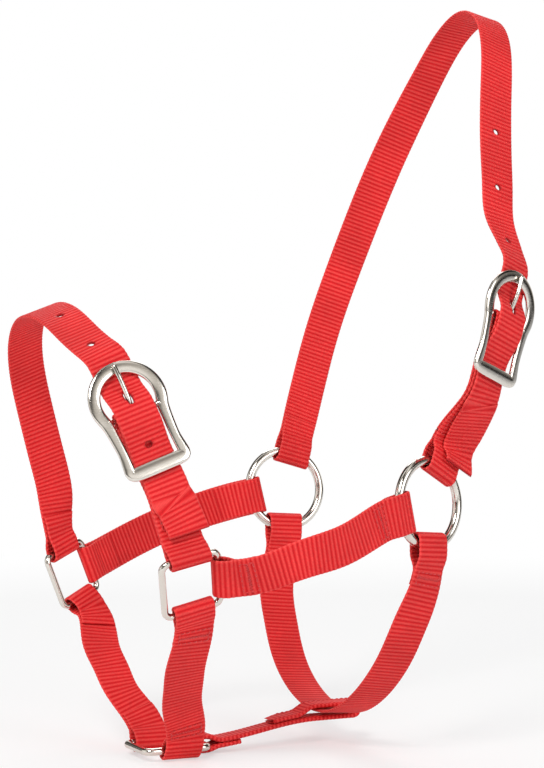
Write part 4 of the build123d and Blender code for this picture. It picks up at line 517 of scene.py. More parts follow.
def adjusting_track(line, bar_at, first, tail_end, tail_rise, tail_shift):
    """Folded end, plain run, over the buckle bar, then a tail that lifts and drifts across."""
    lift_len = 16.0
    lift_from = tail_end - lift_len
    track = start_fold(first)
    track += level(spread(track[-1][0], bar_at - BUCKLE_REACH), HALF_LAYER)
    track += [(bar_at + 2 * i, over_bar(2 * i), 0.0) for i in range(-26, 27)]
    tail = spread(bar_at + BUCKLE_REACH, lift_from, FINE_STEP)
    tail += [lift_from + lift_len * i / 5 for i in range(6)]
    for s in tail:
        track.append((s, TAIL_HEIGHT + ease(s, lift_from, tail_end, 0.0, tail_rise),
                      ease(s, bar_at + BEYOND_KEEPER[0], tail_end, 0.0, tail_shift)))
    return track


def billet_track(line, bar_at, last):
    """Doubled strap from a butt joint up to the buckle bar, back and round the ring."""
    turn = end_loop(line, last)
    closed = turn[0][0]
    joint = closed - 6.0
    joint_gap = 0.5
    shaped_to = bar_at + BUCKLE_REACH
    inner = list(reversed(spread(shaped_to, joint - joint_gap, FINE_STEP)))
    track = level([joint - joint_gap] + inner, -HALF_LAYER)
    track += [(bar_at + 2 * i, inner_billet(2 * i), 0.0) for i in range(26, 1, -1)]
    track += [(s, h, 0.0) for s, h in half_turn(bar_at, BAR_RISE, BILLET_TURN_R)]
    track += [(bar_at + 2 * i, outer_billet(2 * i), 0.0) for i in range(2, 27)]
    track += level(spread(shaped_to, closed, FINE_STEP), HALF_LAYER)
    return track + turn + [(joint + joint_gap, -HALF_LAYER, 0.0)]


# ------------------------------------------------------------------ sections along a webbing
# Per section: point, three directions, distance on the strap line, length run so far.
Sections = namedtuple("Sections", "point travel across outward at run")


def resample(points, keys):
    """Centripetal spline cut into even steps; keys ride along linearly."""
    points, keys = np.asarray(points, float), np.asarray(keys, float)
    keep = [0]
    for i in range(1, len(points)):
        if np.linalg.norm(points[i] - points[keep[-1]]) > 0.15:
            keep.append(i)
    points, keys = points[keep], keys[keep]
    ext = np.vstack([2 * points[0] - points[1], points, 2 * points[-1] - points[-2]])
    fine, fine_keys = [], []
    for i in range(1, len(ext) - 2):
        p0, p1, p2, p3 = ext[i - 1:i + 3]
        t0 = 0.0
        t1 = t0 + np.linalg.norm(p1 - p0) ** 0.5
        t2 = t1 + np.linalg.norm(p2 - p1) ** 0.5
        t3 = t2 + np.linalg.norm(p3 - p2) ** 0.5
        count = max(2, int(np.linalg.norm(p2 - p1) / 0.2))
        for k in range(count):
            f = k / count
            t = t1 + (t2 - t1) * k / count
            a1 = (t1 - t) / (t1 - t0) * p0 + (t - t0) / (t1 - t0) * p1
            a2 = (t2 - t) / (t2 - t1) * p1 + (t - t1) / (t2 - t1) * p2
            a3 = (t3 - t) / (t3 - t2) * p2 + (t - t2) / (t3 - t2) * p3
            b1 = (t2 - t) / (t2 - t0) * a1 + (t - t0) / (t2 - t0) * a2
            b2 = (t3 - t) / (t3 - t1) * a2 + (t - t1) / (t3 - t1) * a3
            fine.append((t2 - t) / (t2 - t1) * b1 + (t - t1) / (t2 - t1) * b2)
            fine_keys.append(keys[i - 1] * (1 - f) + keys[i] * f)
    fine = np.array(fine + [points[-1]])
    fine_keys = np.array(fine_keys + [keys[-1]])
    run = run_lengths(fine)
    count = max(2, int(round(run[-1] / SECTION_STEP)))
    even = np.linspace(0, run[-1], count + 1)

    def spaced(columns):
        return np.stack([np.interp(even, run, column) for column in columns.T], 1)
    return spaced(fine), spaced(fine_keys), even


def run_lengths(points):
    return np.concatenate([[0], np.cumsum(np.linalg.norm(np.diff(points, axis=0), axis=1))])


def row_units(rows):
    return rows / np.linalg.norm(rows, axis=1)[:, None]


def square_rows(rows, travel):
    """Unit rows with their part along travel taken out."""
    return row_units(rows - travel * np.sum(rows * travel, 1)[:, None])


def sections_from(points, keys):
    """keys: distance on the line, then the across direction."""
    point, key, run = resample(points, keys)
    travel = row_units(np.gradient(point, axis=0))
    across = square_rows(key[:, 1:4], travel)
    return Sections(point, travel, across, np.cross(travel, across), key[:, 0], run)


def sections_of(line, track):
    return sections_from([line.point(*row) for row in track],
                         [(row[0], *line.at(row[0])[2]) for row in track])


def part_of(sections, first, last):
    return Sections(*(values[first:last + 1] for values in sections))


def nearest(sections, s, first, last):
    """Section between first and last that is nearest to line distance s."""
    return first + int(np.argmin(np.abs(sections.at[first:last + 1] - s)))


# ------------------------------------------------------------------ materials
class Nodes:
    """A node tree with short ways to add, set and link nodes."""
    def __init__(self, tree, output_kind):
        self.tree = tree
        tree.nodes.clear()
        self.output = self.add(output_kind)

    def add(self, kind, inputs=None, **settings):
        made = self.tree.nodes.new("ShaderNode" + kind)
        for key, value in settings.items():
            setattr(made, key, value)
        self.feed(made, inputs or {})
        return made

    def feed(self, target, inputs):
        for key, value in inputs.items():
            socket = target.inputs[key]
            if isinstance(value, bpy.types.NodeSocket):
                self.tree.links.new(value, socket)
            elif socket.type == "RGBA":
                socket.default_value = (*value, 1.0)
            else:
                socket.default_value = value

    def math(self, operation, *values):
        return self.add("Math", dict(enumerate(values)), operation=operation).outputs[0]

    def scale(self, value, by, plus=None):
        if plus is None:
            return self.math("MULTIPLY", value, by)
        return self.math("MULTIPLY_ADD", value, by, plus)

    def mix(self, factor, first, second, blend="MIX"):
        return self.add("Mix", {0: factor, 6: first, 7: second},
                        data_type="RGBA", blend_type=blend).outputs[2]

    def ramp(self, source, stops):
        made = self.add("ValToRGB")
        elements = made.color_ramp.elements
        while len(elements) < len(stops):
            elements.new(0.5)
        for element, (position, colour) in zip(elements, stops):
            element.position = position
            element.color = (*colour, 1.0)
        self.tree.links.new(source, made.inputs[0])
        return made.outputs[0]

    def grey_ramp(self, source, dark_at, dark, light_at, light):
        return self.ramp(source, [(dark_at, (dark,) * 3), (light_at, (light,) * 3)])

    def noise(self, vector, scale, detail=2.0):
        inputs = {"Scale": scale, "Detail": detail, "Vector": vector}
        return self.add("TexNoise", inputs).outputs[0]

    def object_coord(self):
        return self.add("TexCoord").outputs["Object"]

    def uv_axes(self):
        uv = self.add("UVMap", uv_map="UVMap")
        return self.add("SeparateXYZ", {0: uv.outputs[0]}).outputs[:2]

    def bump(self, surface, height, strength, distance):
        made = self.add("Bump", {"Strength": strength, "Distance": distance, "Height": height})
        self.feed(surface, {"Normal": made.outputs[0]})


def new_material(name):
    material = bpy.data.materials.new(name)
    material.use_nodes = True
    nodes = Nodes(material.node_tree, "OutputMaterial")
    surface = nodes.add("BsdfPrincipled")
    nodes.feed(nodes.output, {0: surface.outputs[0]})
    return material, nodes, surface


def webbing_material():
    """Ribbed nylon: crosswise ribs with painted shade in the valleys, warp yarns, painted filament
    highlights on the crests and paler edges.
    """
    base = (0.77, 0.012, 0.016)
    # light: painted highlight colour for the rib crests, also used for the paler selvedge
    light = (0.94, 0.125, 0.110)
    # groove_shade: painted shade colour for the valleys between the ribs
    groove_shade = (0.62, 0.008, 0.012)
    burnt = (groove_shade[0] * 0.5, groove_shade[1] * 0.6, groove_shade[2] * 0.6)
    yarn_pitch = 0.85
    material, nodes, surface = new_material("webbing_red")
    along, across = nodes.uv_axes()
    rib = nodes.math("FRACT", nodes.scale(along, by=UV_UNIT / RIB))
    ridge = nodes.math("SINE", nodes.scale(rib, by=math.pi))
    ridge = nodes.math("POWER", nodes.math("MAXIMUM", ridge, 0.0), 0.85)
    # Warp yarns are offset half a yarn on alternate ribs.
    rib_number = nodes.math("FLOOR", nodes.scale(along, by=UV_UNIT / RIB))
    offset = nodes.scale(nodes.math("FLOORED_MODULO", rib_number, 2.0), by=0.5)
    yarn = nodes.math("ADD", nodes.scale(across, by=UV_UNIT / yarn_pitch), offset)
    yarn = nodes.math("SINE", nodes.scale(nodes.math("FRACT", yarn), by=math.pi))
    coord = nodes.object_coord()
    fine = nodes.noise(coord, scale=900.0, detail=3.0)
    broad = nodes.noise(coord, scale=28.0, detail=4.0)

    # Painted shade in the rib valleys, painted highlight on the ridges stronger along the yarns,
    # broad and fine variation
    colour = nodes.mix(ridge, groove_shade, base)
    # Painted highlight on the rib crests, stronger along the yarns
    crest = nodes.math("POWER", ridge, 3.0)
    ridge_highlight = nodes.scale(crest, by=nodes.scale(yarn, by=0.55, plus=0.10))
    colour = nodes.mix(ridge_highlight, colour, light)
    vary = nodes.grey_ramp(broad, dark_at=0.30, dark=0.86, light_at=0.70, light=1.06)
    colour = nodes.mix(1.0, colour, vary, "MULTIPLY")
    speck = nodes.grey_ramp(fine, dark_at=0.35, dark=0.90, light_at=0.65, light=1.05)
    colour = nodes.mix(0.8, colour, speck, "MULTIPLY")
    # Paler selvedge and darker melted cut ends
    edge = nodes.scale(nodes.math("ABSOLUTE", across), by=7.0, plus=-7.9)
    edge = nodes.math("SMOOTH_MIN", 1.0, nodes.math("MAXIMUM", 0.0, edge), 0.1)
    colour = nodes.mix(nodes.scale(edge, by=0.35), colour, light)
    burn = nodes.add("Attribute", attribute_name="burn").outputs["Fac"]
    colour = nodes.mix(burn, colour, burnt)

    # Ridges and melted ends are smoother.
    rough = nodes.scale(ridge, by=-0.12, plus=0.66)
    rough = nodes.scale(burn, by=-0.25, plus=rough)
    nodes.feed(surface, {
        "Base Color": colour, "Roughness": rough, "Sheen Weight": 0.03,
        "Sheen Roughness": 0.45, "Sheen Tint": (1.0, 0.55, 0.5), "Specular IOR Level": 0.16})
    # Height of the yarns on the ribs, loose filament and the ribs themselves
    height = nodes.scale(yarn, by=nodes.scale(ridge, by=0.7, plus=0.2))
    height = nodes.scale(fine, by=0.35, plus=height)
    height = nodes.scale(ridge, by=0.9, plus=height)
    nodes.bump(surface, height, strength=0.55, distance=0.00022)
    return material


def thread_material():
    """Twisted thread: plies slant round the stitch, with painted shade in the grooves between
    them.
    """
    base = (0.74, 0.014, 0.018)
    # groove_shade: painted shade colour for the grooves between the plies
    groove_shade = (0.52, 0.007, 0.010)
    material, nodes, surface = new_material("thread_red")
    along, around = nodes.uv_axes()
    ply = nodes.math("ADD", nodes.scale(along, by=14.0), nodes.scale(around, by=1.0))
    ply = nodes.math("SINE", nodes.scale(ply, by=6.2832))
    ply = nodes.scale(ply, by=0.5, plus=0.5)
    fine = nodes.noise(nodes.object_coord(), scale=1500.0)
    colour = nodes.mix(ply, groove_shade, base)
    speck = nodes.grey_ramp(fine, dark_at=0.3, dark=0.8, light_at=0.7, light=1.1)
    colour = nodes.mix(0.4, colour, speck, "MULTIPLY")
    nodes.feed(surface, {"Base Color": colour, "Roughness": 0.5, "Sheen Weight": 0.3})
    nodes.bump(surface, ply, strength=0.6, distance=0.0001)
    return material


def nickel_material():
    """Polished nickel: faint lines, cloudy roughness, rub marks, and rougher hollows with painted
    shade.
    """
    # hollow_shade: painted shade colour for the hollows
    bright, hollow_shade, cloudy = (0.74, 0.700, 0.640), (0.22, 0.19, 0.17), (0.86, 0.83, 0.79)
    material, nodes, surface = new_material("nickel")
    coord = nodes.object_coord()
    cloud = nodes.noise(coord, scale=120.0, detail=5.0)
    stretched = nodes.add("Mapping", {"Scale": (1.0, 1.0, 22.0), "Rotation": (0.6, 0.3, 0.2),
                                      "Vector": coord}).outputs[0]
    lines = nodes.noise(stretched, scale=60.0)
    scratch = nodes.add("TexVoronoi", {"Scale": 260.0, "Vector": stretched},
                        feature="DISTANCE_TO_EDGE")
    mark = nodes.math("LESS_THAN", scratch.outputs[0], 0.012)
    # Painted shade: the colour darkens where ambient occlusion finds nearby surfaces; those places
    # are also rougher
    open_air = nodes.add("AmbientOcclusion", {"Distance": 0.004}, samples=4).outputs["AO"]
    shade_and_dull = nodes.math("SUBTRACT", 1.0, open_air)
    colour = nodes.mix(nodes.scale(shade_and_dull, by=0.75), bright, hollow_shade)
    colour = nodes.mix(nodes.scale(cloud, by=0.16), colour, cloudy)
    rough = nodes.scale(cloud, by=0.12, plus=0.07)
    rough = nodes.scale(mark, by=0.12, plus=rough)
    rough = nodes.scale(shade_and_dull, by=0.15, plus=rough)
    nodes.feed(surface, {"Base Color": colour, "Metallic": 1.0, "Roughness": rough})
    nodes.bump(surface, lines, strength=0.12, distance=0.0001)
    return material


WEB_MATERIALS = [webbing_material(), thread_material()]
WEB_SLOT, THREAD_SLOT = 0, 1
METAL_MATERIALS = [nickel_material()]
METAL_SLOT = 0


# ------------------------------------------------------------------ mesh builders
class Piece:
    """Collects the verts, faces, corner UVs and burn values of one object."""
    def __init__(self):
        self.verts, self.faces, self.uvs, self.slots, self.burn = [], [], [], [], []
        self.count = 0

    def add(self, verts, faces, uvs, slot, burn=None):
        self.faces += [tuple(i + self.count for i in face) for face in faces]
        self.verts.append(verts)
        self.uvs += uvs
        self.slots += [slot] * len(faces)
        self.burn.append(np.zeros(len(verts)) if burn is None else burn)
        self.count += len(verts)

    def make(self, name, materials):
        mesh = bpy.data.meshes.new(name)
        mesh.from_pydata((np.vstack(self.verts) / 1000.0).tolist(), [], self.faces)
        layer = mesh.uv_layers.new(name="UVMap")
        layer.data.foreach_set("uv", np.asarray(self.uvs, np.float32).ravel())
        for material in materials:
            mesh.materials.append(material)
        mesh.polygons.foreach_set("material_index", np.asarray(self.slots, np.int32))
        mesh.polygons.foreach_set("use_smooth", np.ones(len(mesh.polygons), bool))
        burn = mesh.attributes.new("burn", "FLOAT", "POINT")
        burn.data.foreach_set("value", np.concatenate(self.burn).astype(np.float32))
        mesh.validate()
        mesh.update()
        made = bpy.data.objects.new(name, mesh)
        bpy.context.scene.collection.objects.link(made)
        return made


def register(made, motion, replaced, slot):
    """motion: a body to ride; a tuple such as (body, other body, start, end) only leaves the mesh
    baked in place.
    """
    if isinstance(motion, str):
        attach(made, motion)
    else:
        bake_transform(made)
    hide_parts(*replaced)
    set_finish(made, slot)


def finish_webbing(piece, name, motion, replaced):
    register(piece.make(name, WEB_MATERIALS), motion, replaced, "webbing")


def finish_metal(piece, name, body, replaced):
    register(piece.make(name, METAL_MATERIALS), body, [replaced], "nickel")


def ring_quads(sides, rings, starts, ends, around_first=False):
    """Quads between rings of points, one band per entry of starts; the last may wrap.

    starts and ends are the u values of a band; around_first sets the corner order.
    """
    faces, uvs = [], []
    order = (0, 3, 2, 1) if around_first else (0, 1, 2, 3)
    for i, (start, end) in enumerate(zip(starts, ends)):
        here, there = i * sides, (i + 1) % rings * sides
        for j in range(sides):
            k = (j + 1) % sides
            face = (here + j, there + j, there + k, here + k)
            low, high = j / sides, (j + 1) / sides
            uv = ((start, low), (end, low), (end, high), (start, high))
            faces.append(tuple(face[q] for q in order))
            uvs += [uv[q] for q in order]
    return faces, uvs


def add_metal_loop(piece, verts, sides):
    """Closed loop of nickel rings of points."""
    rings = len(verts) // sides
    bands = np.arange(rings)
    faces, uvs = ring_quads(sides, rings, bands / 10, (bands + 1) / 10)
    piece.add(verts, faces, uvs, METAL_SLOT)


def tube(piece, points, radii, slot, closed=False, sides=10, up=None):
    """Round tube through points; without up its section is carried along untwisted."""
    points = np.asarray(points, float)
    count = len(points)
    radii = np.ones(count) * radii
    if closed:
        travel = np.roll(points, -1, 0) - np.roll(points, 1, 0)
    else:
        travel = np.gradient(points, axis=0)
    travel = row_units(travel)
    if up is None:
        reference = (0, 0, 1.0) if abs(travel[0][2]) < 0.9 else (1.0, 0, 0)
        carried = [unit(np.cross(travel[0], reference))]
        for t in travel[1:]:
            last = carried[-1]
            carried.append(unit(last - t * float(last @ t)))
        side = np.array(carried)
    else:
        side = square_rows(np.tile(up, (count, 1)), travel)
    other = np.cross(travel, side)
    angle = np.linspace(0, 2 * np.pi, sides, endpoint=False)
    verts = (points[:, None, :]
             + side[:, None, :] * (np.cos(angle)[None, :, None] * radii[:, None, None])
             + other[:, None, :] * (np.sin(angle)[None, :, None] * radii[:, None, None]))
    run = run_lengths(points) / UV_UNIT
    if closed:
        starts, ends = run, np.append(run[1:], run[-1] + 0.05)
    else:
        starts, ends = run[:-1], run[1:]
    faces, uvs = ring_quads(sides, count, starts, ends, around_first=True)
    if not closed:
        faces.append(tuple(reversed(range(sides))))
        faces.append(tuple(range((count - 1) * sides, count * sides)))
        uvs += [(run[0], 0.0)] * sides + [(run[-1], 0.0)] * sides
    piece.add(verts.reshape(-1, 3), faces, uvs, slot)


def punch(verts, burn, sections, centre, radius, stretch):
    """Open an oval hole: returns the cells taken out and the edges of its rim.

    stretch lengthens the hole along the webbing. Rim points are drawn onto the oval.
    """
    middle = (verts[:, :COLS] + verts[:, :COLS - 1:-1]) / 2
    close = np.linalg.norm(middle - centre, axis=2) < radius * 2.2 * stretch
    near = np.argwhere(close)
    (i0, j0), (i1, j1) = near.min(0), near.max(0)
    gone = set()
    for i in range(max(i0 - 1, 0), min(i1 + 1, len(verts) - 1)):
        for j in range(max(j0 - 1, 0), min(j1 + 1, COLS - 1)):
            cell = (middle[i, j] + middle[i + 1, j] + middle[i, j + 1] + middle[i + 1, j + 1]) / 4
            away = cell - centre
            along = float(away @ sections.travel[i]) / stretch
            if math.hypot(float(away @ sections.across[i]), along) < radius:
                gone.add((i, j))
    rim = set()
    for i, j in gone:
        for edge, neighbour in ((((i, j), (i, j + 1)), (i - 1, j)),
                                (((i + 1, j + 1), (i + 1, j)), (i + 1, j)),
                                (((i + 1, j), (i, j)), (i, j - 1)),
                                (((i, j + 1), (i + 1, j + 1)), (i, j + 1))):
            if neighbour not in gone:
                rim.add(edge)
    for i, j in {corner for edge in rim for corner in edge}:
        across, travel = sections.across[i], sections.travel[i]
        for column in (j, 2 * COLS - 1 - j):
            away = verts[i, column] - centre
            a, b = float(away @ across), float(away @ travel)
            grow = radius / math.hypot(a, b / stretch)
            verts[i, column] += (across * a + travel * b) * (grow - 1)
            burn[i, column] = 0.8
    return gone, rim


def add_webbing(piece, sections, half_width=WEB_W / 2, thick=WEB_T, cut_start=False,
                cut_end=False, soft_cut=False, holes=(), drawn=1.0):
    """Ribbed webbing along sections.

    A soft cut thins away over a few millimetres, a plain cut is melted.
    holes: (centre, radius, stretch). drawn: width factor of each section.
    """
    selvedge = 1.1      # width of the rounded edge
    rib_depth = 0.15
    rib_waist = 0.22    # narrowing between ribs
    wobble_size = 0.10
    run = sections.run
    count = len(run)
    cols = np.linspace(-1, 1, COLS)
    cols = np.sign(cols) * (1 - (1 - np.abs(cols)) ** 1.25)     # closer towards the edges
    valley = 1 - np.maximum(np.sin(np.pi * ((run / RIB) % 1.0)), 0.0) ** 0.8
    rng = np.random.RandomState(int(abs(sections.point[0].sum()) * 10) % 100000)
    wobble = np.convolve(rng.randn(count + 80), np.ones(60) / 60.0, "same")[40:40 + count] * 0.5

    thin, melted = np.ones(count), np.zeros(count)
    for cut, distance in ((cut_start, run - run[0]), (cut_end, run[-1] - run)):
        if cut and soft_cut:
            thin = np.minimum(thin, 0.15 + 0.85 * np.minimum(1.0, distance / 6.0))
        elif cut:
            thin = np.minimum(thin, 0.55 + 0.45 * np.minimum(1.0, distance))
            melted = np.maximum(melted, 0.75 * np.maximum(0.0, 1 - distance / 1.6))

    width = ((half_width - rib_waist * valley + wobble_size * wobble) * drawn)[:, None]
    shift = cols * width
    edge = np.clip((np.abs(shift) - (width - selvedge)) / selvedge, 0, 1)
    height = (thick / 2) * np.sqrt(np.maximum(1 - edge ** 2, 0.0)) ** 0.9
    height = np.maximum(height - rib_depth * valley[:, None] * (1 - edge), 0.12)
    # The two selvedges are woven a touch tighter.
    tight = np.exp(-((np.abs(shift) - (width - 2.0)) / 0.8) ** 2) * (edge < 0.9)
    height = (height + 0.05 * tight - 0.05) * thin[:, None]
    base = sections.point[:, None] + sections.across[:, None] * shift[..., None]
    rise = sections.outward[:, None] * height[..., None]
    verts = np.concatenate([base + rise, (base - rise)[:, ::-1]], axis=1)
    ring = 2 * COLS
    burn = np.repeat(melted[:, None], ring, axis=1)

    gone, rim = set(), []
    for centre, radius, stretch in holes:
        cells, edges = punch(verts, burn, sections, centre, radius, stretch)
        gone |= cells
        rim += edges

    u = run / UV_UNIT
    v = cols * half_width / UV_UNIT
    v = np.concatenate([v, v[::-1]])
    faces, uvs = [], []
    for i in range(count - 1):
        for j in range(ring):
            if (i, j if j < COLS else ring - 2 - j) in gone:
                continue
            k = (j + 1) % ring
            faces.append((i * ring + j, i * ring + k, (i + 1) * ring + k, (i + 1) * ring + j))
            uvs += [(u[i], v[j]), (u[i], v[k]), (u[i + 1], v[k]), (u[i + 1], v[j])]
    # Walls of the holes
    for (ai, aj), (bi, bj) in rim:
        faces.append((ai * ring + aj, ai * ring + ring - 1 - aj,
                      bi * ring + ring - 1 - bj, bi * ring + bj))
        uvs += [(u[ai], v[aj])] * 2 + [(u[bi], v[bj])] * 2
    # End caps between the two faces
    for i, order in ((0, -1), (count - 1, 1)):
        for j in range(COLS - 1):
            cap = (j, j + 1, ring - 2 - j, ring - 1 - j)[::order]
            faces.append(tuple(i * ring + k for k in cap))
            uvs += [(u[i], v[j]), (u[i], v[j + 1]), (u[i], v[j + 1]), (u[i], v[j])]
    piece.add(verts.reshape(-1, 3), faces, uvs, WEB_SLOT, burn.reshape(-1))


def stitches(piece, sections, path, length=2.6, gap=0.75, radius=0.42):
    """Separate stitches along a polyline of (run length, shift) on the outward face."""
    sunk, arch_height = 0.25, 0.38
    path = np.asarray(path, float)
    run = run_lengths(path)
    count = max(1, int(run[-1] // (length + gap)))
    pitch = run[-1] / count
    arch = np.sin(np.linspace(0, np.pi, 6)) ** 0.5
    for k in range(count):
        steps = np.linspace(k * pitch + gap / 2, (k + 1) * pitch - gap / 2, 6)
        along = np.interp(steps, run, path[:, 0])
        shift = np.interp(steps, run, path[:, 1])
        index = np.clip(np.searchsorted(sections.run, along), 0, len(sections.run) - 1)
        height = WEB_T / 2 - sunk + arch_height * arch
        points = (sections.point[index] + sections.across[index] * shift[:, None]
                  + sections.outward[index] * height[:, None])
        tube(piece, points, radius * (0.45 + 0.55 * arch), THREAD_SLOT, sides=6)


def box_seam(piece, sections, start, end, middle):
    """Rectangle of stitches with a zigzag across its middle."""
    side = SEAM_HALF
    stitches(piece, sections,
             [(start, -side), (end, -side), (end, side), (start, side), (start, -side)])
    count, reach = 22, 1.1
    zigzag = [(middle + (reach if i % 2 else -reach), -side + 2 * side * i / count)
              for i in range(count + 1)]
    for first, second in zip(zigzag, zigzag[1:]):
        stitches(piece, sections, [first, second], length=1.2, gap=0.15, radius=0.36)


def end_seam(piece, sections, start, end, first, last):
    """Box seam between two line distances on the run from section first to last."""
    box_seam(piece, sections, *(sections.run[nearest(sections, s, first, last)]
                                for s in (start, end, (start + end) / 2)))


def under_layer_width(count, first, last):
    """Width factors: layers folded back outside first..last are drawn in a little."""
    narrowing, ramp_sections = 0.07, 24.0
    index = np.arange(count, dtype=float)
    f = np.clip(np.maximum(first - index, index - last) / ramp_sections, 0.0, 1.0)
    return 1.0 - narrowing * f * f * (3 - 2 * f)


# ------------------------------------------------------------------ cheeks, chins and throat
def two_ended_strap(name, line, first, last, replaced, first_body=None, last_body=None):
    """Strap sewn round a bar at both ends; split in two at the middle when a last body is given.
    """
    sections = sections_of(line, two_ended_track(line, first, last))
    count, length = len(sections.run), line.length
    half = count // 2
    outer = (int(np.argmin(sections.at[:half])), half + int(np.argmax(sections.at[half:])))
    drawn = under_layer_width(count, *outer)
    follow_first = ("web", first_body,
                    line.metres(min(58.0, length * 0.48)), line.metres(4.0))
    follow_last = ("web", last_body,
                   line.metres(max(length - 58.0, length * 0.52)), line.metres(length - 4.0))
    if last_body:
        cut = nearest(sections, length * 0.5, *outer)
        spans = [("_upper", 0, cut, follow_first), ("_lower", cut, count - 1, follow_last)]
    else:
        spans = [("", 0, count - 1, follow_first if first_body else "web")]
    for suffix, start, end, motion in spans:
        at_start, at_end = start == 0, end == count - 1
        piece = Piece()
        add_webbing(piece, part_of(sections, start, end), cut_start=at_start, cut_end=at_end,
                    soft_cut=True, drawn=drawn[start:end + 1])
        if at_start:
            end_seam(piece, sections, *first.seam, *outer)
        if at_end:
            end_seam(piece, sections, length - last.seam[1], length - last.seam[0], *outer)
        finish_webbing(piece, name + suffix, motion, replaced)


for side, line in (("near", NEAR_CHEEK), ("off", OFF_CHEEK)):
    cheek = side + "_cheek"
    two_ended_strap(cheek + "_webbing", line, SQUARE_SIDE, ROUND,
                    [cheek + "_strap", cheek + "_front_stitching", cheek + "_rear_stitching"],
                    first_body=side + "_nose_ring_body")
for side, line in (("near", NEAR_CHIN), ("off", OFF_CHIN)):
    chin = side + "_chin"
    two_ended_strap(chin + "_webbing", line, SQUARE_LOW, CHIN,
                    [chin + "_strap", chin + "_upper_stitching", chin + "_lower_stitching"],
                    first_body=side + "_nose_ring_body", last_body="chin_ring_body")
two_ended_strap("throat_webbing", THROAT, ROUND, ROUND,
                ["throat_strap", "off_throat_stitching", "near_throat_stitching"])


# ------------------------------------------------------------------ buckled straps
def tongue_height(y):
    return np.interp(y, *zip(*TONGUE_PTS))


def tongue_crossing():
    """Distance beyond the bar where the tongue comes up through the adjusting strap."""
    start, end = TONGUE_PTS[0][0], TONGUE_PTS[-1][0]
    return min((start + (end - start) * i / 60 for i in range(61)),
               key=lambda y: abs(FRAME_RISE + tongue_height(y) - over_bar(-y)))


def strap_holes(line, bar_at, offsets):
    """Punched holes at offsets from the bar, then the worn one that holds the tongue.

    Each is (line distance, centre, radius, stretch along the webbing).
    """
    worn = -tongue_crossing() + 0.6     # drawn out towards the bar
    rows = [(x, HOLE_D / 2, 1.0) for x in offsets] + [(worn, 2.1, 2.4)]
    return [(bar_at + x, line.point(bar_at + x, over_bar(x)), radius, stretch)
            for x, radius, stretch in rows]


def adjusting_strap(name, line, bar_at, first, tail, holes, cuts, motions, replaced):
    """Long strap through the buckle, split at cuts where it passes between bodies.

    tail: its end on the line, its rise and its shift across.
    """
    sections = sections_of(line, adjusting_track(line, bar_at, first, *tail))
    count = len(sections.run)
    outer = (int(np.argmin(sections.at[:count // 3])), count - 1)
    drawn = under_layer_width(count, outer[0], count)
    marks = [0] + [nearest(sections, s, *outer) for s in cuts] + [count - 1]
    for k, (start, end, motion) in enumerate(zip(marks, marks[1:], motions)):
        part = part_of(sections, start, end)
        inside = [hole[1:] for hole in holes if part.at[0] <= hole[0] <= part.at[-1]]
        piece = Piece()
        add_webbing(piece, part, cut_start=start == 0, cut_end=end == count - 1,
                    soft_cut=k == 0, holes=inside, drawn=drawn[start:end + 1])
        if k == 0:
            end_seam(piece, sections, *first.seam, *outer)
        finish_webbing(piece, name + "_" + str(k + 1), motion, replaced)


def billet(name, line, bar_at, last, replaced, motion):
    """Doubled buckle strap with a slot for the tongue at its fold."""
    sections = sections_of(line, billet_track(line, bar_at, last))
    count = len(sections.run)
    fold = int(np.argmin(sections.at))
    clear = sections.at > bar_at + 4.6
    slot_start = int(np.flatnonzero(clear[:fold])[-1])
    slot_end = fold + int(np.flatnonzero(clear[fold:])[0])
    piece = Piece()
    add_webbing(piece, part_of(sections, 0, slot_start), cut_start=True)
    add_webbing(piece, part_of(sections, slot_end, count - 1), cut_end=True)
    # The slot is left open between two side strips.
    strip_in, strip_out = COIL_W / 2 + COIL_CLEAR, WEB_W / 2
    round_bar = part_of(sections, slot_start, slot_end)
    for side in (-1, 1):
        shift = side * (strip_in + strip_out) / 2
        strip = round_bar._replace(point=round_bar.point + round_bar.across * shift)
        add_webbing(piece, strip, half_width=(strip_out - strip_in) / 2)
    start, end = (sections.run[nearest(sections, s, fold, count - 1)]
                  for s in (bar_at + 50.0, line.length - 20.0))
    edge = SEAM_HALF
    for seam in (((start, -edge), (end, -edge)), ((start, edge), (end, edge)),
                 ((end, -edge), (end, edge)), ((start, -edge), (start, edge))):
        stitches(piece, sections, seam)
    finish_webbing(piece, name, motion, replaced)


NOSEBAND_SPLIT = NOSEBAND_BAR_AT + 42.0
CROWN_SPLIT = CROWN_BAR_AT + 42.0
noseband_end = ("web", "near_nose_ring_body",
                NOSEBAND.metres(NOSEBAND_SPLIT), NOSEBAND.metres(NOSEBAND.length - 3.0))
crown_end = ("web", "crown", CROWN.metres(CROWN.length - 8.0), CROWN.metres(CROWN_SPLIT))

adjusting_strap(
    "noseband_webbing", NOSEBAND, NOSEBAND_BAR_AT, SQUARE_TOP,
    tail=(NOSEBAND.length - 13.5, 1.0, 4.0),
    holes=strap_holes(NOSEBAND, NOSEBAND_BAR_AT,
                      [-TONGUE_HOLE - k * NOSEBAND_HOLE_PITCH for k in (1, 2)] + [SPARE_HOLE]),
    cuts=(100.0, NOSEBAND_SPLIT),
    motions=(("web", "off_nose_ring_body", NOSEBAND.metres(60.0), NOSEBAND.metres(4.0)),
             "web", noseband_end),
    replaced=["noseband_strap", "noseband_stitching"])
adjusting_strap(
    "crown_webbing", CROWN, CROWN_BAR_AT, ROUND,
    tail=(CROWN.length - 1.0, 4.6, 8.0),
    holes=strap_holes(CROWN, CROWN_BAR_AT,
                      [-TONGUE_HOLE - k * CROWN_HOLE_PITCH for k in (1, 2, 3)]),
    cuts=(330.0, CROWN_SPLIT),
    motions=(("web", "crown", CROWN.metres(12.0), CROWN.metres(110.0)), "crown", crown_end),
    replaced=["crown_strap", "crown_stitching"])
billet("noseband_billet_webbing", NOSEBAND, NOSEBAND_BAR_AT, SQUARE_BILLET,
       ["noseband_buckle_strap"], noseband_end)
billet("crown_billet_webbing", CROWN, CROWN_BAR_AT, ROUND, ["crown_buckle_strap"], crown_end)

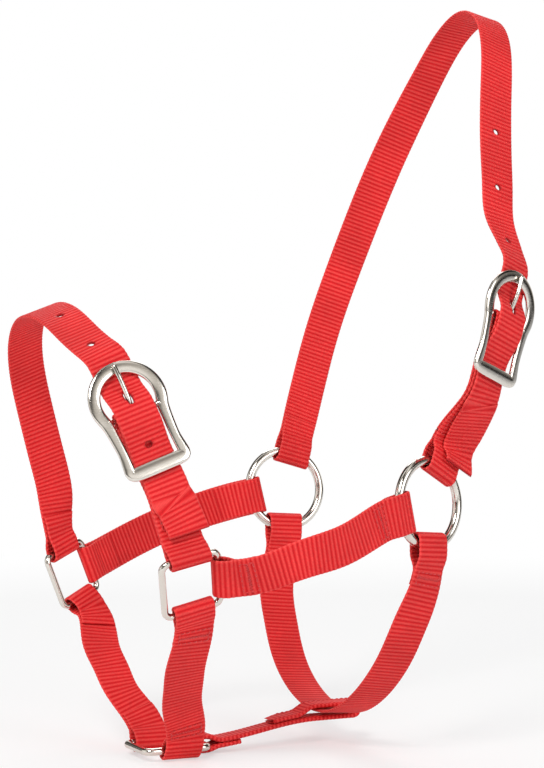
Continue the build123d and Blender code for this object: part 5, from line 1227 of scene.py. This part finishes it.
# ------------------------------------------------------------------ jaw strap
# It runs in +Y from the rear bar of the chin ring to the throat strap, round it and back.
JAW_X = CHIN_RING_CENTRE[0]
JAW_Y0 = CHIN_RING_CENTRE[1] + CHIN_HALF_Y
JAW_Z0 = CHIN_RING_CENTRE[2]
JAW_Y1 = THROAT_LOW[1]
JAW_Z1 = THROAT_LOW[2] - HALF_LAYER
JAW_CLEAR = WEB_T / 2 + JAW_T / 2 + 1.45    # jaw strap above and below the throat strap
JAW_LAP = JAW_T + LAYER_GAP
JAW_TURN_R = CHIN_WIRE / 2 + LOOP_GAP + JAW_T / 2
JAW_TURN_Y = JAW_Y1 + WEB_W / 2 + 1.6


def jaw_base(y):
    """Height of the middle layer from the chin ring to the throat strap."""
    return ease(y, JAW_Y0 + 4.0, JAW_Y1 - 12.0, JAW_Z0 + 1.2, JAW_Z1 - JAW_CLEAR)


def jaw_track():
    """(y, z) of the strap: lower layer, chin bar, middle layer, throat turn, upper layer."""
    track = []
    for k in range(3):
        y = JAW_Y0 + 28.0 - 5.5 * k
        track.append((y, jaw_base(y) - JAW_LAP))
    parting, closing = JAW_Y0 + 3.5, 10.5
    closed_z = jaw_base(JAW_Y0 + 14.0)
    for f in (0.75, 0.5, 0.25, 0.0):
        z = ease(f, 0.0, 1.0, JAW_Z0 - JAW_TURN_R, closed_z - JAW_LAP)
        track.append((parting + closing * f, z))
    track += half_turn(JAW_Y0, JAW_Z0, JAW_TURN_R)
    for f in (0.0, 0.25, 0.5, 0.75, 1.0):
        track.append((parting + closing * f, ease(f, 0.0, 1.0, JAW_Z0 + JAW_TURN_R, closed_z)))
    y = JAW_Y0 + 20.0
    while y < JAW_Y1 + WEB_W / 2 + 1.0:
        track.append((y, jaw_base(y)))
        y += TRACK_STEP
    track += half_turn(JAW_TURN_Y, JAW_Z1, JAW_CLEAR, side=1)
    upper_z = JAW_Z1 + JAW_CLEAR
    throat_edge = JAW_Y1 - WEB_W / 2 - 1.0
    track += [(y, upper_z) for y in (JAW_Y1 + 8.0, JAW_Y1, JAW_Y1 - 8.0, throat_edge)]
    for f in (0.25, 0.5, 0.75, 1.0):
        y = throat_edge - 13.0 * f
        track.append((y, ease(f, 0.0, 1.0, upper_z, jaw_base(y) + JAW_LAP)))
    for k in (1, 2, 3):
        y = throat_edge - 13.0 - TRACK_STEP * k
        track.append((y, jaw_base(y) + JAW_LAP))
    return track


def jaw_strap():
    """Webbing folded lengthwise: two layers, closed along one edge by a bead."""
    layer_offset, layer_thick, under_inset = 0.82, 1.56, 0.35
    bead_shift, bead_radius, bead_ripple = 6.35, 1.25, 0.12
    seam_shift, seam_margin, seam_lift = -4.6, 8.0, 0.72
    track = jaw_track()
    sections = sections_from([(JAW_X, y, z) for y, z in track],
                             [(y, 1.0, 0.0, 0.0) for y, _ in track])
    run = sections.run
    to_end = np.minimum(run, run[-1] - run)
    drawn = 1.0 - 0.30 * np.clip(1.0 - to_end / 12.0, 0.0, 1.0)
    piece = Piece()
    for offset, inset in ((layer_offset, 0.0), (-layer_offset, under_inset)):
        layer = sections._replace(point=sections.point + sections.outward * offset)
        add_webbing(piece, layer, half_width=JAW_W / 2 - inset, thick=layer_thick,
                    cut_start=True, cut_end=True, soft_cut=True, drawn=drawn)
    bead = (sections.point + sections.across * bead_shift)[4:-4:3]
    ripple = np.sin(np.arange(len(bead)) * 3 * 2 * np.pi / 8.0)     # one wave per rib
    tube(piece, bead, bead_radius + bead_ripple * ripple, WEB_SLOT)
    raised = sections._replace(point=sections.point + sections.outward * seam_lift)
    stitches(piece, raised, [(seam_margin, seam_shift), (run[-1] - seam_margin, seam_shift)])
    start, end = ((JAW_X * MM, (JAW_Y0 + y) * MM, JAW_Z0 * MM) for y in (40.0, 3.0))
    finish_webbing(piece, "jaw_webbing", ("web", "chin_ring_body", start, end), ["jaw_strap"])


jaw_strap()


# ------------------------------------------------------------------ rings
def ring_axes(normal, up):
    """Face normal and two directions in the plane of a ring."""
    normal = Vector(normal).normalized()
    first = Vector(up)
    first = (first - normal * first.dot(normal)).normalized()
    return np.array(normal), np.array(first), np.array(normal.cross(first))


def weld(count, at, width, grow):
    """Radius factors along a closed wire with a small butt weld at one point."""
    index = np.arange(count)
    distance = np.minimum(np.abs(index - at), count - np.abs(index - at))
    return 1 + grow * np.exp(-(distance / width) ** 2)


def round_ring(name, centre, normal, weld_at):
    normal, a, b = ring_axes(normal, (0, 0, 1))
    angle = np.linspace(0, 2 * np.pi, 192, endpoint=False)
    points = np.array(centre) + ROUND_R * (np.cos(angle)[:, None] * a + np.sin(angle)[:, None] * b)
    radii = (ROUND_WIRE / 2 * weld(len(points), weld_at, width=1.6, grow=0.035)
             * (1 + 0.004 * np.sin(angle * 7)))
    piece = Piece()
    tube(piece, points, radii, METAL_SLOT, closed=True, sides=28, up=normal)
    finish_metal(piece, name + "_metal", name + "_body", name)


def square_ring(name, centre, normal, up, half_a, half_b, wire, weld_at):
    """Rounded rectangle of wire; half_a lies along up, half_b square to it."""
    normal, a, b = ring_axes(normal, up)
    corners = []
    for side_a, side_b, first_angle in ((1, 1, 0), (-1, 1, 90), (-1, -1, 180), (1, -1, 270)):
        for k in range(17):
            angle = math.radians(first_angle + 90 * k / 16)
            corners.append(np.array((side_a * (half_a - CORNER_R) + CORNER_R * math.cos(angle),
                                     side_b * (half_b - CORNER_R) + CORNER_R * math.sin(angle))))
    dense = []
    for start, end in zip(corners, corners[1:] + corners[:1]):
        count = max(1, int(np.linalg.norm(end - start) / 0.9))
        dense += [start + (end - start) * k / count for k in range(count)]
    dense = np.array(dense)
    points = np.array(centre) + dense[:, :1] * a + dense[:, 1:] * b
    piece = Piece()
    tube(piece, points, wire / 2 * weld(len(points), weld_at, width=1.4, grow=0.05),
         METAL_SLOT, closed=True, sides=24, up=normal)
    finish_metal(piece, name + "_metal", name + "_body", name)


round_ring("near_cheek_ring", NEAR_CHEEK_RING_CENTRE, NEAR_CHEEK_RING_NORMAL, weld_at=52)
round_ring("off_cheek_ring", OFF_CHEEK_RING_CENTRE, OFF_CHEEK_RING_NORMAL, weld_at=110)
square_ring("near_nose_ring", NEAR_NOSE_RING_CENTRE, NEAR_NOSE_RING_NORMAL, NEAR_NOSE_RING_UP,
            NOSE_RING_HALF, NOSE_RING_HALF, NOSE_RING_WIRE, weld_at=10)
square_ring("off_nose_ring", OFF_NOSE_RING_CENTRE, OFF_NOSE_RING_NORMAL, OFF_NOSE_RING_UP,
            NOSE_RING_HALF, NOSE_RING_HALF, NOSE_RING_WIRE, weld_at=90)
square_ring("chin_ring", CHIN_RING_CENTRE, CHIN_RING_NORMAL, CHIN_RING_UP,
            CHIN_HALF_X, CHIN_HALF_Y, CHIN_WIRE, weld_at=60)

# ------------------------------------------------------------------ buckles
# In a buckle x runs across, y from the bar towards the arc and z away from the strap.
# One side of the frame from the arc to the keeper bar: x, y, half width of the metal
FRAME_SIDE = [(17.5, -2.0, 3.5), (16.9, -10.0, 3.1), (16.5, -20.0, 2.9), (16.9, -27.0, 3.2),
              (17.1, -31.4, 3.4), (15.2, -33.0, 3.9), (10.0, -33.25, 4.2)]
KEEPER_MIDDLE = (0.0, -33.25, 4.25)


def buckle_axes(line, bar_at):
    """Origin on the frame mid plane above the bar, and the x, y, z directions."""
    _, _, across, outward = line.at(bar_at)
    return line.point(bar_at, FRAME_RISE), across, np.cross(outward, across), outward


def frame_outline():
    """Mid line of the frame and its half width, once round."""
    radius = (ARC_R + ARC_IN) / 2
    rows = []
    for k in range(25):
        angle = math.radians(-18 + 216 * k / 24)
        rows.append((radius * math.cos(angle), ARC_AT + radius * math.sin(angle),
                     (ARC_R - ARC_IN) / 2))
    rows += [(-x, y, half) for x, y, half in FRAME_SIDE]
    rows = np.array(rows + [KEEPER_MIDDLE] + FRAME_SIDE[::-1])
    count = len(rows)
    fine = []
    for i in range(count):
        p0, p1, p2, p3 = (rows[(i + k) % count] for k in (-1, 0, 1, 2))
        for k in range(6):
            f = k / 6
            fine.append(0.5 * (2 * p1 + (p2 - p0) * f + (2 * p0 - 5 * p1 + 4 * p2 - p3) * f * f
                               + (3 * p1 - p0 - 3 * p2 + p3) * f ** 3))
    return np.array(fine)


def frame_loop(piece, origin, x, y, z):
    """Flattened section: flat underneath, gently crowned face."""
    outline = frame_outline()
    centre = outline[:, :2]
    travel = row_units(np.roll(centre, -1, 0) - np.roll(centre, 1, 0))
    outward = np.stack([travel[:, 1], -travel[:, 0]], 1)
    sides = 24
    angle = np.linspace(0, 2 * np.pi, sides, endpoint=False)
    wide = np.sign(np.cos(angle)) * np.abs(np.cos(angle)) ** 0.72
    high = np.sign(np.sin(angle)) * np.abs(np.sin(angle)) ** 0.62
    height = high * (FRAME_T / 2)
    height = np.where(high > 0, height * (1 - 0.12 * wide ** 2), height)
    verts = []
    for i, half_width in enumerate(outline[:, 2]):
        flat = centre[i] + outward[i] * (wide * half_width)[:, None]
        verts.append(origin + flat[:, :1] * x + flat[:, 1:] * y + height[:, None] * z)
    add_metal_loop(piece, np.vstack(verts), sides)


def buckle_bar(piece, origin, x, z):
    """The bar dips below the frame and swells where it meets the side bars."""
    bar_half, dip_len, swell_from, swell_len = 17.0, 3.5, 13.0, 3.0
    xs = np.concatenate([np.linspace(-bar_half, -12.6, 10), np.linspace(-12.0, 12.0, 12),
                         np.linspace(12.6, bar_half, 10)])
    points = [origin + x * q - z * (BAR_DROP * min(1.0, (bar_half - abs(q)) / dip_len))
              for q in xs]
    radii = BAR_R + 0.55 * np.clip((np.abs(xs) - swell_from) / swell_len, 0, 1) ** 2
    tube(piece, points, np.minimum(radii, 1.85), METAL_SLOT, sides=20, up=z)


def tongue_rod(piece, origin, y, z):
    """Tapering rod with a bend and a rounded tip."""
    bend, bend_len = 0.35, 3.0
    taper, tip_from = 0.18, 0.93
    start, end = TONGUE_SPAN
    points, radii = [], []
    for q in np.linspace(0, 1, 34):
        out = start + (end - start) * q
        dip = bend * math.exp(-((out - TONGUE_PTS[1][0]) / bend_len) ** 2)
        points.append(origin + y * out + z * (tongue_height(out) - dip))
        tip = 1.0
        if q >= tip_from:
            tip = math.sqrt(max(0.02, 1 - ((q - tip_from) / 0.07) ** 2)) * 0.98 + 0.02
        radii.append(TONGUE_R * (1.0 - taper * q) * tip)
    tube(piece, points, radii, METAL_SLOT, sides=18, up=z)


def tongue_eye(piece, origin, x, y, z):
    """Two turns of flattened wire side by side round the bar."""
    turn_offset, half_width, half_thick, clearance = 1.5, 1.48, 0.72, 0.2
    middle = BAR_R + clearance + half_thick
    centre = origin - z * BAR_DROP
    sides = 16
    section = np.linspace(0, 2 * np.pi, sides, endpoint=False)
    for side in (-1, 1):
        verts = []
        for angle in np.linspace(0, 2 * np.pi, 40, endpoint=False):
            radial = y * math.cos(angle) + z * math.sin(angle)
            for s in section:
                verts.append(centre + x * (side * turn_offset + half_width * math.cos(s))
                             + radial * (middle + half_thick * math.sin(s)))
        add_metal_loop(piece, verts, sides)


for key, line, bar_at, body in (("noseband", NOSEBAND, NOSEBAND_BAR_AT, "web"),
                                ("crown", CROWN, CROWN_BAR_AT, "crown")):
    origin, x, y, z = buckle_axes(line, bar_at)
    piece = Piece()
    frame_loop(piece, origin, x, y, z)
    buckle_bar(piece, origin, x, z)
    finish_metal(piece, key + "_buckle_frame_metal", body, key + "_buckle_frame")
    piece = Piece()
    tongue_rod(piece, origin, y, z)
    tongue_eye(piece, origin, x, y, z)
    finish_metal(piece, key + "_buckle_tongue_metal", key + "_tongue", key + "_buckle_tongue")

# Turn all face normals outward.
for made in list(bpy.context.scene.objects):
    if made.type == "MESH" and "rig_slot" in made:
        bm = bmesh.new()
        bm.from_mesh(made.data)
        bmesh.ops.recalc_face_normals(bm, faces=bm.faces)
        bm.to_mesh(made.data)
        bm.free()


# ------------------------------------------------------------------ studio (metres)
def add_floor():
    """Pale floor that the camera sees fading into white with distance."""
    bpy.ops.mesh.primitive_plane_add(size=30.0, location=(0, 0, -0.0006))
    floor = bpy.context.object
    floor.name = "floor"
    material, nodes, surface = new_material("floor_pale")
    position = nodes.add("NewGeometry").outputs["Position"]
    distance = nodes.add("VectorMath", {0: position}, operation="LENGTH").outputs["Value"]
    fade_from, fade_to = 0.35, 1.6
    far = nodes.add("MapRange", {0: distance, 1: fade_from, 2: fade_to},
                    interpolation_type="SMOOTHSTEP").outputs[0]
    nodes.feed(surface, {"Base Color": (0.93, 0.93, 0.93), "Roughness": 0.9})
    glow = nodes.add("Emission", {"Color": (1, 1, 1), "Strength": 1.0})
    to_camera = nodes.add("LightPath").outputs["Is Camera Ray"]
    least_glow = 0.5
    factor = nodes.scale(nodes.math("MAXIMUM", far, least_glow), by=to_camera)
    mixed = nodes.add("MixShader", {0: factor, 1: surface.outputs[0], 2: glow.outputs[0]})
    nodes.feed(nodes.output, {0: mixed.outputs[0]})
    floor.data.materials.append(material)


def add_world():
    """White to the camera, soft light elsewhere, banded soft boxes in the metal."""
    world = bpy.data.worlds.new("studio")
    bpy.context.scene.world = world
    world.use_nodes = True
    nodes = Nodes(world.node_tree, "OutputWorld")
    path = nodes.add("LightPath")
    white = nodes.add("Background", {"Color": (1, 1, 1), "Strength": 1.0})
    soft = nodes.add("Background", {"Color": (0.98, 0.99, 1.0), "Strength": 0.42})
    direction = nodes.add("TexCoord").outputs["Generated"]
    x, y, z = nodes.add("SeparateXYZ", {0: direction}).outputs[:3]
    boxes = nodes.add("Background", {"Strength": 1.0})
    # Bright bands with dark gaps: three round the horizon, shifted by height
    around = nodes.scale(nodes.math("ARCTAN2", y, x), by=3.0, plus=0.9)
    band = nodes.math("SINE", around)
    upward = nodes.math("SINE", nodes.scale(z, by=7.0))
    band = nodes.math("ADD", band, nodes.scale(upward, by=0.8))
    colour = nodes.ramp(nodes.scale(band, by=0.28, plus=0.5), [
        (0.30, (0.012, 0.011, 0.010)), (0.47, (0.20, 0.19, 0.175)),
        (0.60, (0.62, 0.59, 0.55)), (0.76, (1.0, 0.98, 0.95))])
    nodes.feed(boxes, {"Color": colour})
    unseen = nodes.add("MixShader", {0: path.outputs["Is Glossy Ray"],
                                     1: soft.outputs[0], 2: boxes.outputs[0]})
    seen = nodes.add("MixShader", {0: path.outputs["Is Camera Ray"],
                                   1: unseen.outputs[0], 2: white.outputs[0]})
    nodes.feed(nodes.output, {0: seen.outputs[0]})


def disk_light(name, location, size, power, color=(1, 1, 1)):
    """Round area light aimed at the middle of the halter."""
    data = bpy.data.lights.new(name, "AREA")
    data.shape = "DISK"
    data.size = size
    data.energy = power
    data.color = color
    light = bpy.data.objects.new(name, data)
    bpy.context.scene.collection.objects.link(light)
    light.location = location
    aim = Vector((0.0, 0.0, 0.24)) - Vector(location)
    light.rotation_euler = aim.to_track_quat("-Z", "Y").to_euler()


def add_camera():
    data = bpy.data.cameras.new("camera")
    camera = bpy.data.objects.new("camera", data)
    bpy.context.scene.collection.objects.link(camera)
    right = Vector((0.4391218, 0.8984132, -0.0050652))
    up = Vector((0.0115342, 0.0, 0.9999335))
    forward = Vector((-0.8983535, 0.4391510, 0.0103624))
    turn = Matrix((right, up, -forward)).transposed()
    place = Matrix.Translation((1.10062, -0.538693, 0.216643))
    camera.matrix_world = place @ turn.to_4x4()
    data.sensor_fit = "AUTO"
    data.sensor_width = 36.0
    data.lens = 90.59450625
    data.clip_start = 0.05
    bpy.context.scene.camera = camera


add_floor()
add_world()
disk_light("key", (1.3, -1.5, 1.9), size=1.0, power=40.0, color=(1.0, 0.985, 0.965))
disk_light("fill", (1.9, 0.9, 0.9), size=1.4, power=12.0, color=(0.97, 0.985, 1.0))
disk_light("back", (-1.4, 0.6, 1.6), size=1.2, power=12.0)
add_camera()
bpy.context.scene.view_settings.view_transform = "Standard"
bpy.context.scene.view_settings.look = "None"
